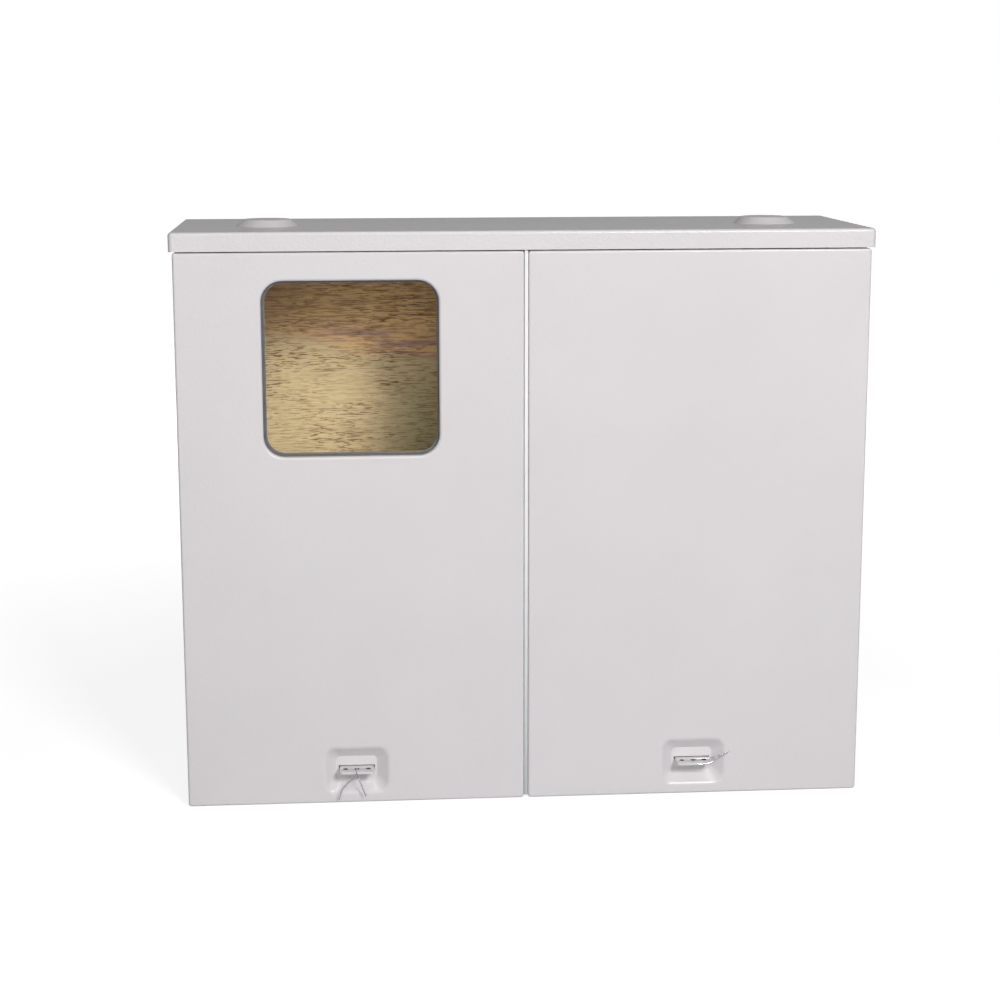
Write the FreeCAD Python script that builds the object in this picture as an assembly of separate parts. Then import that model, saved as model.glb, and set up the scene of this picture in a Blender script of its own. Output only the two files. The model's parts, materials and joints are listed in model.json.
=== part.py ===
import FreeCAD, Part
import math
import os

from FreeCAD import Vector

# Wall-mounted sheet-steel meter box with a rain hood and two top-hung covers.
# Millimetres. +X runs to the right of someone facing the box, +Y points to the wall, +Z is up.
# The origin is at the middle of the box's footprint, on the plane that its bottom stands on.
# Names that end in _depth_at give a distance behind the outer face of the hood's front lip.

os.makedirs("parts", exist_ok=True)

# Sheet metal
sheet = 1.2
bend_inside = 0.8
bend_outside = 2.0

# Hood
hood_side_reach = 4.5
hood_depth = 200.0
hood_lip_height = 16.3
hood_edge_radius = 3.0
hood_corner_radius = 4.0

# Conduit hubs pressed up out of the hood
hub_from_side = 80.0
hub_depth_at = 86.0
hub_base_radius = 27.5
hub_top_radius = 20.5
hub_height = 6.0
hub_edge_radius = 1.5
hub_knockout_radius = 16.0
case_hub_hole_radius = 23.0

# Case
case_width = 591.0
case_height = 500.0
side_return = 15.0
top_return = 12.0
wall_hole_radius = 4.0
wall_hole_from_side = 40.5
wall_hole_from_end = 50.0
base_knockout_radius = 20.0
base_knockout_from_side = 146.5
base_knockout_depth_at = 106.0
score_width = 0.8
score_depth = 0.7

# Covers
cover_recess = 1.5
cover_side_clearance = 0.3
cover_gap = 3.7
cover_top_gap = 0.9
cover_floor_gap = 0.5
outer_flange = 22.0
inner_flange = 9.0
top_flange = 4.0
flange_relief = 3.0
seat_gap = 0.3

# Pressed latch pocket in each cover
pocket_width = 56.0
pocket_height = 41.0
pocket_inset = 10.0
pocket_depth = 9.0
pocket_centre_z = 30.0
pocket_mouth_radius = 9.0
pocket_floor_radius = 4.0
pocket_edge_radius = 2.0
slot_side_clearance = 1.6
slot_height_clearance = 1.6

# Latch tongues
tongue_width = 30.0
tongue_thickness = 2.0
tongue_top_z = 31.2
tongue_reach = 18.0
tongue_corner_radius = 3.0
tongue_bend_radius = 1.8
tongue_hole_radius = 2.1
tongue_hole_pitch = 10.0
tongue_hole_from_tip = 9.5
tongue_leg_bottom = 5.0
tongue_rivet_z = 10.5
tongue_rivet_spread = 18.0

# Cover pivots
pivot_behind_face = 5.0
pivot_below_top = 4.6
pin_radius = 1.5
pin_running_clearance = 0.06
pin_head_radius = 2.8
pin_head_thickness = 1.2
pin_end = 0.2
ear_radius = 3.0
ear_drop = 9.0

# Mullion between the covers
mullion_width = 44.0
mullion_end_gap = 3.0
rib_recess = 0.7
rib_end_gap = 1.0
rib_slot_clearance = 0.4
mullion_rivet_offset = 14.0
mullion_rivet_low = 16.0
mullion_rivet_below_top = 6.5

# Blind rivets
rivet_radius = 1.6
rivet_head_radius = 3.3
rivet_head_height = 1.4
rivet_crown_radius = 1.9
rivet_tail_radius = 2.5
rivet_tail_height = 2.6

# Window in the left cover
window_size = 150.0
window_corner_radius = 18.0
window_below_hood_top = 116.4
window_flange = 6.0
window_roll_radius = 2.5
gasket_thickness = 2.5
gasket_lip = 2.0
pane_thickness = 3.0
pane_overlap = 7.0
pane_side_clearance = 1.2
retainer_sheet = 1.0
retainer_inner_lap = 6.0
retainer_outer_lap = 9.0
stud_radius = 2.0
stud_length = 9.0
stud_nut_across = 7.0
stud_nut_height = 3.2

# Timber meter board and the rails behind it
board_side_gap = 15.5
board_end_gap = 30.0
board_thickness = 16.0
rail_height = 25.0
rail_top_width = 30.0
rail_flange = 15.0
rail_from_board_side = 10.0
rail_from_board_end = 90.0
screw_from_board_side = 25.0
screw_radius = 2.5
screw_head_radius = 4.9
screw_head_height = 3.2
screw_slot_width = 1.2
screw_slot_depth = 1.2
screw_end = 2.0
board_nut_across = 8.0
board_nut_height = 4.0

# Earth stud on the back wall, below the board
earth_from_side = 95.5
earth_z = 16.0
earth_radius = 3.0
earth_length = 25.0
earth_washer_radius = 6.4
earth_washer_thickness = 1.6
earth_nut_across = 10.0
earth_nut_height = 5.0

# Seal wires through the middle holes of the tongues
wire_radius = 0.5
wire_sides = 6
wire_bend_radius = 1.6
wire_clearance = 0.25
wire_corner_hug = 0.35
twist_radius = 0.9
twist_bend_radius = 8.0

# Places worked out from the sizes above
wire_out = wire_radius + wire_clearance
wire_front = wire_out + wire_corner_hug
front_reach = tongue_reach - pocket_depth - cover_recess + wire_front + wire_radius
wall_y = (hood_depth + front_reach) / 2
lip_y = wall_y - hood_depth
hood_top = case_height + sheet
lip_bottom = hood_top - hood_lip_height
case_half = case_width / 2
hood_half = case_half + hood_side_reach
hub_offset = hood_half - hub_from_side
wall_hole_offset = case_half - wall_hole_from_side
wall_hole_low = wall_hole_from_end
wall_hole_high = case_height - wall_hole_from_end
base_knockout_offset = case_half - base_knockout_from_side
face_y = lip_y + cover_recess
cover_back_y = face_y + sheet
pocket_floor_y = face_y + pocket_depth
case_front_y = pocket_floor_y + sheet + seat_gap
return_back_y = case_front_y + sheet
cover_top = lip_bottom - cover_top_gap
cover_bottom = cover_floor_gap
cover_inner_x = cover_gap / 2
cover_outer_x = case_half + cover_side_clearance + sheet
cover_centre_x = (cover_inner_x + cover_outer_x) / 2
pivot_y = face_y + pivot_behind_face
pivot_z = cover_top - pivot_below_top
rib_half = sheet
bottom_return_top = tongue_top_z - tongue_thickness
tongue_tip_y = pocket_floor_y - tongue_reach
tongue_hole_y = tongue_tip_y + tongue_hole_from_tip
window_x = -cover_centre_x
window_z = hood_top - window_below_hood_top
gasket_y = face_y + window_flange
pane_y = gasket_y + gasket_thickness
pane_size = window_size + 2 * pane_overlap
pane_corner_radius = window_corner_radius + pane_overlap
retainer_back_y = pane_y + pane_thickness
rail_front_y = wall_y - sheet - rail_height
board_front_y = rail_front_y - board_thickness
board_half = case_half - board_side_gap
board_bottom = board_end_gap
board_top = case_height - board_end_gap
rail_half_length = board_half - rail_from_board_side
rail_low_z = board_bottom + rail_from_board_end
rail_high_z = board_top - rail_from_board_end
board_screw_offset = board_half - screw_from_board_side
earth_x = case_half - earth_from_side


def box(low, high):
    """Block between two opposite corners."""
    size = [high[i] - low[i] for i in range(3)]
    return Part.makeBox(size[0], size[1], size[2], Vector(*low))


def cylinder(start, axis, length, radius):
    """Round bar from a start point along an axis."""
    return Part.makeCylinder(radius, length, Vector(*start), Vector(*axis))


def rounded_loop(centre_x, centre_z, width, height, radius, y):
    """Rounded rectangle in a plane that faces the viewer."""
    half_w = width / 2
    half_h = height / 2
    diagonal = radius * (1 - math.sqrt(0.5))
    corners = [(1, 1), (-1, 1), (-1, -1), (1, -1)]
    edges = []
    previous = None
    first = None
    for sx, sz in corners:
        on_side = Vector(centre_x + sx * half_w, y, centre_z + sz * (half_h - radius))
        on_end = Vector(centre_x + sx * (half_w - radius), y, centre_z + sz * half_h)
        middle = Vector(centre_x + sx * (half_w - diagonal), y, centre_z + sz * (half_h - diagonal))
        start, end = (on_side, on_end) if sx * sz > 0 else (on_end, on_side)
        if previous is None:
            first = start
        else:
            edges.append(Part.LineSegment(previous, start).toShape())
        edges.append(Part.Arc(start, middle, end).toShape())
        previous = end
    edges.append(Part.LineSegment(previous, first).toShape())
    return Part.Wire(edges)


def rounded_block(centre_x, centre_z, width, height, radius, y, length):
    """Rounded rectangle carried back along +Y."""
    loop = rounded_loop(centre_x, centre_z, width, height, radius, y)
    return Part.Face(loop).extrude(Vector(0, length, 0))


def edges_where(shape, test):
    """Edges whose bounding box passes a test."""
    return [edge for edge in shape.Edges if test(edge.BoundBox)]


def near(a, b):
    """True where two places agree."""
    return abs(a - b) < 1e-4


def hexagon_bar(start, axis, across, length):
    """Hexagonal bar along X, Y or Z, with two flats level."""
    direction = Vector(*axis)
    side = Vector(0, 0, 1) if abs(direction.z) < 0.5 else Vector(1, 0, 0)
    other = direction.cross(side)
    radius = across / math.sqrt(3)
    points = []
    for i in range(7):
        angle = math.radians(60 * i)
        points.append(Vector(*start) + other * (radius * math.cos(angle)) + side * (radius * math.sin(angle)))
    return Part.Face(Part.makePolygon(points)).extrude(direction * length)


def hexagon_nut(start, axis, across, length, hole_radius):
    """Hexagonal nut."""
    return hexagon_bar(start, axis, across, length).cut(cylinder(start, axis, length, hole_radius))


def domed_head(x, y, z, radius, height):
    """Spherical cap that stands forward from a face at y."""
    ball_radius = (radius ** 2 + height ** 2) / (2 * height)
    half_angle = math.asin(radius / ball_radius) / 2
    base = Vector(x, y, z)
    crown = Vector(x, y - height, z)
    rim = Vector(x + radius, y, z)
    middle = crown + Vector(ball_radius * math.sin(half_angle), ball_radius * (1 - math.cos(half_angle)), 0)
    outline = [Part.Arc(crown, middle, rim).toShape(), Part.makeLine(rim, base), Part.makeLine(base, crown)]
    return Part.Face(Part.Wire(outline)).revolve(base, Vector(0, 1, 0), 360)


def mirrored(shape):
    """The same piece on the other side of the box."""
    return shape.mirror(Vector(0, 0, 0), Vector(1, 0, 0))


def score_ring(centre, axis, radius):
    """Narrow ring that a knockout's outline is pressed into the sheet with."""
    outer = cylinder(centre, axis, score_depth, radius)
    return outer.cut(cylinder(centre, axis, score_depth, radius - score_width))


def folded_shell(low, high, outside_radius, inside_radius):
    """Closed box of sheet whose folds are rounded inside and out; its four seams along Y are square."""
    outer = box(low, high)
    outer = outer.makeFillet(outside_radius, edges_where(outer, lambda b: b.YLength < 1))
    inner = box([v + sheet for v in low], [v - sheet for v in high])
    inner = inner.makeFillet(inside_radius, edges_where(inner, lambda b: b.YLength < 1))
    return outer.cut(inner)


# Case

def pivot_ear():
    """Ear that stands forward from the right side wall and holds the pivot pin."""
    x = case_half - sheet
    nose = cylinder((x, pivot_y, pivot_z), (1, 0, 0), sheet, ear_radius)
    web_low = (x, pivot_y - ear_radius, pivot_z - ear_drop)
    web = box(web_low, (case_half, case_front_y + bend_outside, pivot_z))
    return nose.fuse(web)


def make_case():
    """Folded tray: back, four walls and narrow returns round its open front."""
    low = (-case_half, case_front_y, 0)
    high = (case_half, wall_y, case_height)
    body = folded_shell(low, high, bend_outside, bend_inside)
    mouth_half = case_half - side_return
    mouth_low = (-mouth_half, case_front_y - 1, bottom_return_top)
    mouth_high = (mouth_half, return_back_y + 1, case_height - top_return)
    body = body.cut(box(mouth_low, mouth_high))
    ear = pivot_ear()
    body = body.fuse([ear, mirrored(ear)])
    return body.cut(case_holes()).removeSplitter()


def case_holes():
    """Everything drilled, punched or scored in the case."""
    holes = []
    for side in (-1, 1):
        for z in (wall_hole_low, wall_hole_high):
            start = (side * wall_hole_offset, wall_y - 2 * sheet, z)
            holes.append(cylinder(start, (0, 1, 0), 3 * sheet, wall_hole_radius))
        hub_place = (side * hub_offset, lip_y + hub_depth_at, case_height - 2 * sheet)
        holes.append(cylinder(hub_place, (0, 0, 1), 3 * sheet, case_hub_hole_radius))
        knockout = (side * base_knockout_offset, lip_y + base_knockout_depth_at, 0)
        holes.append(score_ring(knockout, (0, 0, 1), base_knockout_radius))
        pin_start = (side * (case_half - 2 * sheet), pivot_y, pivot_z)
        holes.append(cylinder(pin_start, (side, 0, 0), 3 * sheet, pin_radius))
    for x, z in mullion_rivet_places() + tongue_rivet_places():
        start = (x, case_front_y - sheet, z)
        holes.append(cylinder(start, (0, 1, 0), 3 * sheet, rivet_radius))
    slot_half = rib_half + rib_slot_clearance
    slot_low = (-slot_half, case_front_y - 1, bend_outside)
    holes.append(box(slot_low, (slot_half, return_back_y + 1, bottom_return_top + 1)))
    return Part.makeCompound(holes)


# Hood

def make_hood():
    """Rain cap with a lip on three sides and two pressed hubs."""
    outer = box((-hood_half, lip_y, lip_bottom), (hood_half, wall_y, hood_top))
    outer = round_cap(outer, lip_y, hood_top, hood_corner_radius, hood_edge_radius)
    inner_half = hood_half - sheet
    inner = box((-inner_half, lip_y + sheet, lip_bottom - 1), (inner_half, wall_y + 1, case_height))
    inner_corner = hood_corner_radius - sheet
    inner_edge = hood_edge_radius - sheet
    inner = round_cap(inner, lip_y + sheet, case_height, inner_corner, inner_edge)
    cap = outer.cut(inner)
    for side in (-1, 1):
        cap = press_hub(cap, side * hub_offset)
    return cap


def round_cap(block, front_y, top_z, corner_radius, edge_radius):
    """Round a block's two front corners, then its top edges at the front and sides."""
    corners = edges_where(block, lambda b: near(b.YMin, front_y) and near(b.YMax, front_y) and b.ZLength > 1)
    corners = [edge for edge in corners if edge.BoundBox.XLength < 1]
    block = block.makeFillet(corner_radius, corners)
    back_y = block.BoundBox.YMax
    rim = edges_where(block, lambda b: near(b.ZMin, top_z) and not near(b.YMin, back_y))
    return block.makeFillet(edge_radius, rim)


def press_hub(cap, x):
    """Raise one flat-topped hub with a scored knockout."""
    y = lip_y + hub_depth_at
    slope = (hub_base_radius - hub_top_radius) / hub_height
    wall = sheet * math.hypot(1, slope)
    outer = Part.makeCone(hub_base_radius, hub_top_radius, hub_height, Vector(x, y, hood_top))
    inner_base = hub_base_radius + slope * sheet - wall
    inner_top = inner_base - slope * hub_height
    inner = Part.makeCone(inner_base, inner_top, hub_height, Vector(x, y, case_height))
    cap = cap.fuse(outer)
    ring = edges_where(cap, lambda b: hub_ring(b, x, hood_top + hub_height))
    cap = cap.makeFillet(hub_edge_radius, ring)
    knockout = (x, y, hood_top + hub_height - score_depth)
    return cap.cut(inner).cut(score_ring(knockout, (0, 0, 1), hub_knockout_radius))


def hub_ring(bounds, x, z):
    """True for a level ring edge of the hub at x."""
    level = near(bounds.ZMin, z) and near(bounds.ZMax, z)
    return level and near((bounds.XMin + bounds.XMax) / 2, x) and near(bounds.XLength, bounds.YLength)


# Covers

def cover_pan():
    """Right cover as a plain folded pan, before its pocket and holes."""
    low = (cover_inner_x, face_y, cover_bottom)
    high = (cover_outer_x, face_y + 2 * outer_flange, cover_top)
    pan = folded_shell(low, high, bend_outside, bend_inside)
    back = face_y + 3 * outer_flange
    deep = box((cover_inner_x - 1, face_y + outer_flange, -1), (cover_outer_x + 1, back, cover_top + 1))
    inner_low = (cover_inner_x - 1, face_y + inner_flange, -1)
    inner_side = box(inner_low, (cover_outer_x - sheet, back, cover_top + 1))
    top_low = (cover_inner_x + bend_outside, face_y + top_flange, cover_top - bend_outside)
    top_side = box(top_low, (cover_outer_x - sheet, back, cover_top + 1))
    pan = pan.cut([deep, inner_side, top_side])
    for z in (cover_bottom - 1, cover_top - flange_relief):
        relief_low = (cover_outer_x - bend_outside, face_y + inner_flange, z)
        relief_high = (cover_outer_x + 1, back, z + flange_relief + 1)
        pan = pan.cut(box(relief_low, relief_high))
    return pan


def pocket_form(offset):
    """Tapered plug of the pocket; offset 0 is its air side, the sheet's thickness its back side."""
    taper = math.hypot(pocket_inset, pocket_depth) / pocket_depth
    grow = 2 * offset * taper
    floor_depth = pocket_depth + offset
    shrink = 2 * pocket_inset * floor_depth / pocket_depth
    mouth = rounded_loop(cover_centre_x, pocket_centre_z, pocket_width + grow, pocket_height + grow,
                         pocket_mouth_radius + offset, face_y)
    floor = rounded_loop(cover_centre_x, pocket_centre_z, pocket_width + grow - shrink,
                         pocket_height + grow - shrink, pocket_floor_radius + offset, face_y + floor_depth)
    return Part.makeLoft([mouth, floor], True, True)


def press_pocket(pan):
    """Stamp the latch pocket and punch the slot that the tongue stands through."""
    pan = pan.fuse(pocket_form(sheet)).cut(pocket_form(0)).removeSplitter()
    half_w = pocket_width / 2
    half_h = pocket_height / 2
    rim = edges_where(pan, lambda b: pocket_rim(b, half_w, half_h, face_y))
    pan = pan.makeFillet(pocket_edge_radius, rim)
    slot_half = tongue_width / 2 + slot_side_clearance
    slot_low = (cover_centre_x - slot_half, face_y, bottom_return_top - slot_height_clearance)
    slot_high = (cover_centre_x + slot_half, case_front_y, tongue_top_z + slot_height_clearance)
    return pan.cut(box(slot_low, slot_high))


def pocket_rim(bounds, half_w, half_h, y):
    """True for an edge of the pocket's mouth."""
    in_plane = near(bounds.YMin, y) and near(bounds.YMax, y)
    inside_x = abs(bounds.Center.x - cover_centre_x) < half_w + 1
    return in_plane and inside_x and abs(bounds.Center.z - pocket_centre_z) < half_h + 1


def pivot_holes():
    """Clearance holes for the pins in a right cover's two side flanges."""
    radius = pin_radius + pin_running_clearance
    start = (cover_inner_x - 1, pivot_y, pivot_z)
    return cylinder(start, (1, 0, 0), cover_outer_x - cover_inner_x + 2, radius)


def plain_cover():
    """Right cover: pan, latch pocket and pivot holes."""
    return press_pocket(cover_pan()).cut(pivot_holes())


def make_right_cover():
    """Solid-faced cover."""
    return plain_cover().removeSplitter()


def make_left_cover():
    """Cover with a window whose edge is rolled inwards."""
    cover = mirrored(plain_cover())
    collar_size = window_size + 2 * sheet
    collar = rounded_block(window_x, window_z, collar_size, collar_size,
                           window_corner_radius + sheet, face_y, window_flange)
    throat = rounded_block(window_x, window_z, window_size, window_size,
                           window_corner_radius, face_y - 1, window_flange + 2)
    cover = cover.fuse(collar).cut(throat).removeSplitter()
    mouth = edges_where(cover, lambda b: window_rim(b, face_y))
    return cover.makeFillet(window_roll_radius, mouth)


def window_rim(bounds, y):
    """True for an edge of the window's opening in one plane."""
    in_plane = near(bounds.YMin, y) and near(bounds.YMax, y)
    reach = window_size / 2 + 2 * sheet
    return in_plane and abs(bounds.Center.x - window_x) < reach and abs(bounds.Center.z - window_z) < reach


# Window parts

def make_window_gasket():
    """Flat rubber frame between the rolled edge and the pane."""
    outer = rounded_block(window_x, window_z, pane_size, pane_size, pane_corner_radius,
                          gasket_y, gasket_thickness)
    inner_size = window_size - 2 * gasket_lip
    inner = rounded_block(window_x, window_z, inner_size, inner_size, window_corner_radius - gasket_lip,
                          gasket_y, gasket_thickness)
    return outer.cut(inner)


def make_window_pane():
    """Clear pane."""
    return rounded_block(window_x, window_z, pane_size, pane_size, pane_corner_radius, pane_y, pane_thickness)


def retainer_tier(size, radius, y, length):
    """One rounded tier of the retainer's form."""
    return rounded_block(window_x, window_z, size, size, radius, y, length)


def make_pane_retainer():
    """Pressed frame that holds the pane: a flat on the cover, a wall and a lap over the pane."""
    wall_size = pane_size + 2 * pane_side_clearance
    wall_radius = pane_corner_radius + pane_side_clearance
    wall_length = retainer_back_y - cover_back_y
    outside_size = wall_size + 2 * retainer_sheet
    outside_radius = wall_radius + retainer_sheet
    flat_size = outside_size + 2 * retainer_outer_lap
    lap_size = pane_size - 2 * retainer_inner_lap
    flat = retainer_tier(flat_size, outside_radius + retainer_outer_lap, cover_back_y, retainer_sheet)
    wall = retainer_tier(outside_size, outside_radius, cover_back_y, wall_length + retainer_sheet)
    well = retainer_tier(wall_size, wall_radius, cover_back_y, wall_length)
    opening = retainer_tier(lap_size, pane_corner_radius - retainer_inner_lap, cover_back_y,
                            wall_length + retainer_sheet)
    frame = flat.fuse(wall).cut([well, opening])
    for x, z in stud_places():
        frame = frame.cut(cylinder((x, cover_back_y, z), (0, 1, 0), retainer_sheet, stud_radius))
    return frame


def stud_places():
    """One stud in the middle of each side of the retainer's flat."""
    reach = pane_size / 2 + pane_side_clearance + retainer_sheet + retainer_outer_lap / 2
    return [(window_x + reach * across, window_z + reach * up) for across, up in ((1, 0), (0, 1), (-1, 0), (0, -1))]


def make_retainer_studs():
    """Weld studs on the back of the left cover."""
    return [cylinder((x, cover_back_y, z), (0, 1, 0), stud_length, stud_radius) for x, z in stud_places()]


def make_retainer_nuts():
    """Nuts on the weld studs."""
    y = cover_back_y + retainer_sheet
    nuts = []
    for x, z in stud_places():
        nuts.append(hexagon_nut((x, y, z), (0, 1, 0), stud_nut_across, stud_nut_height, stud_radius))
    return nuts


# Pivot pins

def make_right_pivot_pin():
    """Pin riveted in the case's ear, with its end in the cover's outer flange."""
    head_x = case_half - sheet - pin_head_thickness
    head = cylinder((head_x, pivot_y, pivot_z), (1, 0, 0), pin_head_thickness, pin_head_radius)
    shank_length = cover_outer_x + pin_end - head_x
    return head.fuse(cylinder((head_x, pivot_y, pivot_z), (1, 0, 0), shank_length, pin_radius))


def make_left_pivot_pin():
    """The same pin on the left."""
    return mirrored(make_right_pivot_pin())


def make_centre_pivot_pin():
    """Pin pressed through the mullion's rib, with an end in each cover's inner flange."""
    reach = cover_inner_x + sheet + pin_end
    return cylinder((-reach, pivot_y, pivot_z), (1, 0, 0), 2 * reach, pin_radius)


# Mullion

def mullion_rivet_places():
    """Two rivets at each end of the mullion."""
    high = case_height - mullion_rivet_below_top
    return [(side * mullion_rivet_offset, z) for side in (-1, 1) for z in (mullion_rivet_low, high)]


def make_mullion():
    """Strip behind the returns with a doubled-over rib that stands forward between the covers."""
    half = mullion_width / 2
    strip_low = (-half, return_back_y, mullion_end_gap)
    strip = box(strip_low, (half, return_back_y + sheet, case_height - mullion_end_gap))
    rib_front_y = face_y + rib_recess
    rib_top = case_height - top_return - rib_end_gap
    rib = box((-rib_half, rib_front_y, mullion_end_gap), (rib_half, return_back_y + sheet, rib_top))
    nose = edges_where(rib, lambda b: near(b.YMax, rib_front_y) and b.ZLength > 1)
    rib = rib.makeFillet(rib_half - 0.05, nose)
    body = strip.fuse(rib)
    root = edges_where(body, lambda b: near(b.YMin, return_back_y) and near(abs(b.XMin), rib_half)
                       and b.XLength < 1 and b.YLength < 1e-3)
    body = body.makeFillet(rib_slot_clearance, root)
    holes = [cylinder((x, return_back_y, z), (0, 1, 0), sheet, rivet_radius) for x, z in mullion_rivet_places()]
    holes.append(cylinder((-mullion_width, pivot_y, pivot_z), (1, 0, 0), 2 * mullion_width, pin_radius))
    return body.cut(holes)


def blind_rivet(x, z, grip):
    """Set blind rivet: sloped head in front, shank through the grip, swollen tail behind."""
    head = Part.makeCone(rivet_head_radius, rivet_crown_radius, rivet_head_height,
                         Vector(x, case_front_y, z), Vector(0, -1, 0))
    shank = cylinder((x, case_front_y, z), (0, 1, 0), grip, rivet_radius)
    tail = cylinder((x, case_front_y + grip, z), (0, 1, 0), rivet_tail_height, rivet_tail_radius)
    return head.fuse([shank, tail])


def make_mullion_rivets():
    """Rivets through the case's returns and the mullion."""
    return [blind_rivet(x, z, 2 * sheet) for x, z in mullion_rivet_places()]


# Latch tongues

def tongue_rivet_places():
    """Two rivets under each tongue."""
    places = []
    for side in (-1, 1):
        for across in (-tongue_rivet_spread / 2, tongue_rivet_spread / 2):
            places.append((side * cover_centre_x + across, tongue_rivet_z))
    return places


def make_tongue(side):
    """Angle of plate: one leg behind the bottom return, the other out through the pocket's slot."""
    x = side * cover_centre_x
    half = tongue_width / 2
    back_y = return_back_y + tongue_thickness
    plate = box((x - half, tongue_tip_y, bottom_return_top), (x + half, back_y, tongue_top_z))
    corners = edges_where(plate, lambda b: near(b.YMax, tongue_tip_y) and b.ZLength > 1)
    plate = plate.makeFillet(tongue_corner_radius, corners)
    leg = box((x - half, return_back_y, tongue_leg_bottom), (x + half, back_y, tongue_top_z))
    tongue = plate.fuse(leg)
    bend = edges_where(tongue, lambda b: near(b.ZMin, tongue_top_z) and near(b.YMin, back_y))
    tongue = tongue.makeFillet(tongue_bend_radius, bend)
    holes = []
    for i in (-1, 0, 1):
        start = (x + i * tongue_hole_pitch, tongue_hole_y, bottom_return_top)
        holes.append(cylinder(start, (0, 0, 1), tongue_thickness, tongue_hole_radius))
    for rivet_x, z in tongue_rivet_places():
        if rivet_x * side > 0:
            holes.append(cylinder((rivet_x, return_back_y, z), (0, 1, 0), tongue_thickness, rivet_radius))
    return tongue.cut(holes).removeSplitter()


def make_tongue_rivets():
    """Rivets through the bottom return and the tongues' legs."""
    return [blind_rivet(x, z, sheet + tongue_thickness) for x, z in tongue_rivet_places()]


# Seal wires

def bent_wire(points, radius, bend):
    """Fine six-sided wire along straight runs joined by tangent arcs."""
    edges = []
    start = points[0]
    for i in range(1, len(points) - 1):
        corner = points[i]
        before = (points[i - 1] - corner).normalize()
        after = (points[i + 1] - corner).normalize()
        half_turn = (math.pi - before.getAngle(after)) / 2
        shorter = min((points[i - 1] - corner).Length, (points[i + 1] - corner).Length)
        set_back = min(bend * math.tan(half_turn), 0.45 * shorter)
        arc_radius = set_back / math.tan(half_turn)
        first = corner + before * set_back
        last = corner + after * set_back
        inward = (before + after).normalize()
        middle = corner + inward * (arc_radius / math.cos(half_turn) - arc_radius)
        edges.append(Part.LineSegment(start, first).toShape())
        edges.append(Part.Arc(first, middle, last).toShape())
        start = last
    edges.append(Part.LineSegment(start, points[-1]).toShape())
    path = Part.Wire(edges)
    section = Part.makeCircle(radius, points[0], points[1] - points[0])
    corners = section.discretize(wire_sides + 1)
    return path.makePipeShell([Part.makePolygon(corners)], True, True)


def tongue_point(side, across, behind_tip, above_top):
    """Place given from the middle of a tongue's tip, on its top face."""
    return Vector(side * cover_centre_x + across, tongue_tip_y + behind_tip, tongue_top_z + above_top)


def make_left_seal_wire():
    """Wire through the middle hole and over the tip, with its two legs splayed below."""
    under = -tongue_thickness - wire_out
    route = [
        (-16.0, 3.4, -26.0),
        (-14.4, 3.0, -18.0),
        (-8.5, 0.8, -10.0),
        (-1.6, -wire_front, under - 2.0),
        (-0.4, -wire_front, wire_front),
        (0.0, tongue_hole_from_tip, wire_out),
        (0.0, tongue_hole_from_tip, under - 1.0),
        (0.6, 3.5, under - 2.2),
        (2.8, 1.6, -10.5),
        (7.4, 3.0, -23.0),
    ]
    points = [tongue_point(-1, *place) for place in route]
    return bent_wire(points, wire_radius, wire_bend_radius)


def make_right_seal_wire():
    """Wire through the middle hole and round the tip, twisted on itself into a tail to the right."""
    under = -tongue_thickness - wire_out
    loop = [
        (16.6, 6.6, 2.9),
        (9.0, 8.6, wire_out + 0.3),
        (0.0, tongue_hole_from_tip, wire_out + 0.2),
        (0.0, tongue_hole_from_tip, under - 1.0),
        (-0.3, 3.5, under - 0.8),
        (-0.2, -wire_front, under),
        (1.4, -wire_front, -0.6),
        (12.5, -wire_front, -0.8),
        (17.0, 1.2, 0.4),
        (17.6, 5.6, 2.6),
    ]
    tail = [
        (15.6, 6.4, 2.4),
        (21.5, 6.2, 4.4),
        (26.5, 6.0, 5.6),
        (32.0, 5.8, 8.6),
    ]
    loop_wire = bent_wire([tongue_point(1, *place) for place in loop], wire_radius, wire_bend_radius)
    tail_wire = bent_wire([tongue_point(1, *place) for place in tail], twist_radius, twist_bend_radius)
    return loop_wire.fuse(tail_wire)


# Meter board and its rails

def make_meter_board():
    """Plain timber board."""
    board = box((-board_half, board_front_y, board_bottom), (board_half, rail_front_y, board_top))
    holes = []
    for x, z in board_screw_places():
        holes.append(cylinder((x, board_front_y, z), (0, 1, 0), board_thickness, screw_radius))
    return board.cut(holes)


def board_screw_places():
    """A screw near each end of each rail."""
    return [(x, z) for z in (rail_low_z, rail_high_z) for x in (-board_screw_offset, board_screw_offset)]


def make_board_rail(z):
    """Hat-section rail welded to the back wall."""
    back_y = wall_y - sheet
    half_top = rail_top_width / 2
    half_foot = half_top + rail_flange
    outline = [
        (-half_foot, back_y - sheet), (-half_top, back_y - sheet), (-half_top, rail_front_y),
        (half_top, rail_front_y), (half_top, back_y - sheet), (half_foot, back_y - sheet),
        (half_foot, back_y), (half_top - sheet, back_y), (half_top - sheet, rail_front_y + sheet),
        (-half_top + sheet, rail_front_y + sheet), (-half_top + sheet, back_y), (-half_foot, back_y),
    ]
    points = [Vector(-rail_half_length, y, z + across) for across, y in outline]
    rail = Part.Face(Part.makePolygon(points + [points[0]])).extrude(Vector(2 * rail_half_length, 0, 0))
    holes = [cylinder((x, rail_front_y, z), (0, 1, 0), sheet, screw_radius)
             for x, hole_z in board_screw_places() if hole_z == z]
    return rail.cut(holes)


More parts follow.
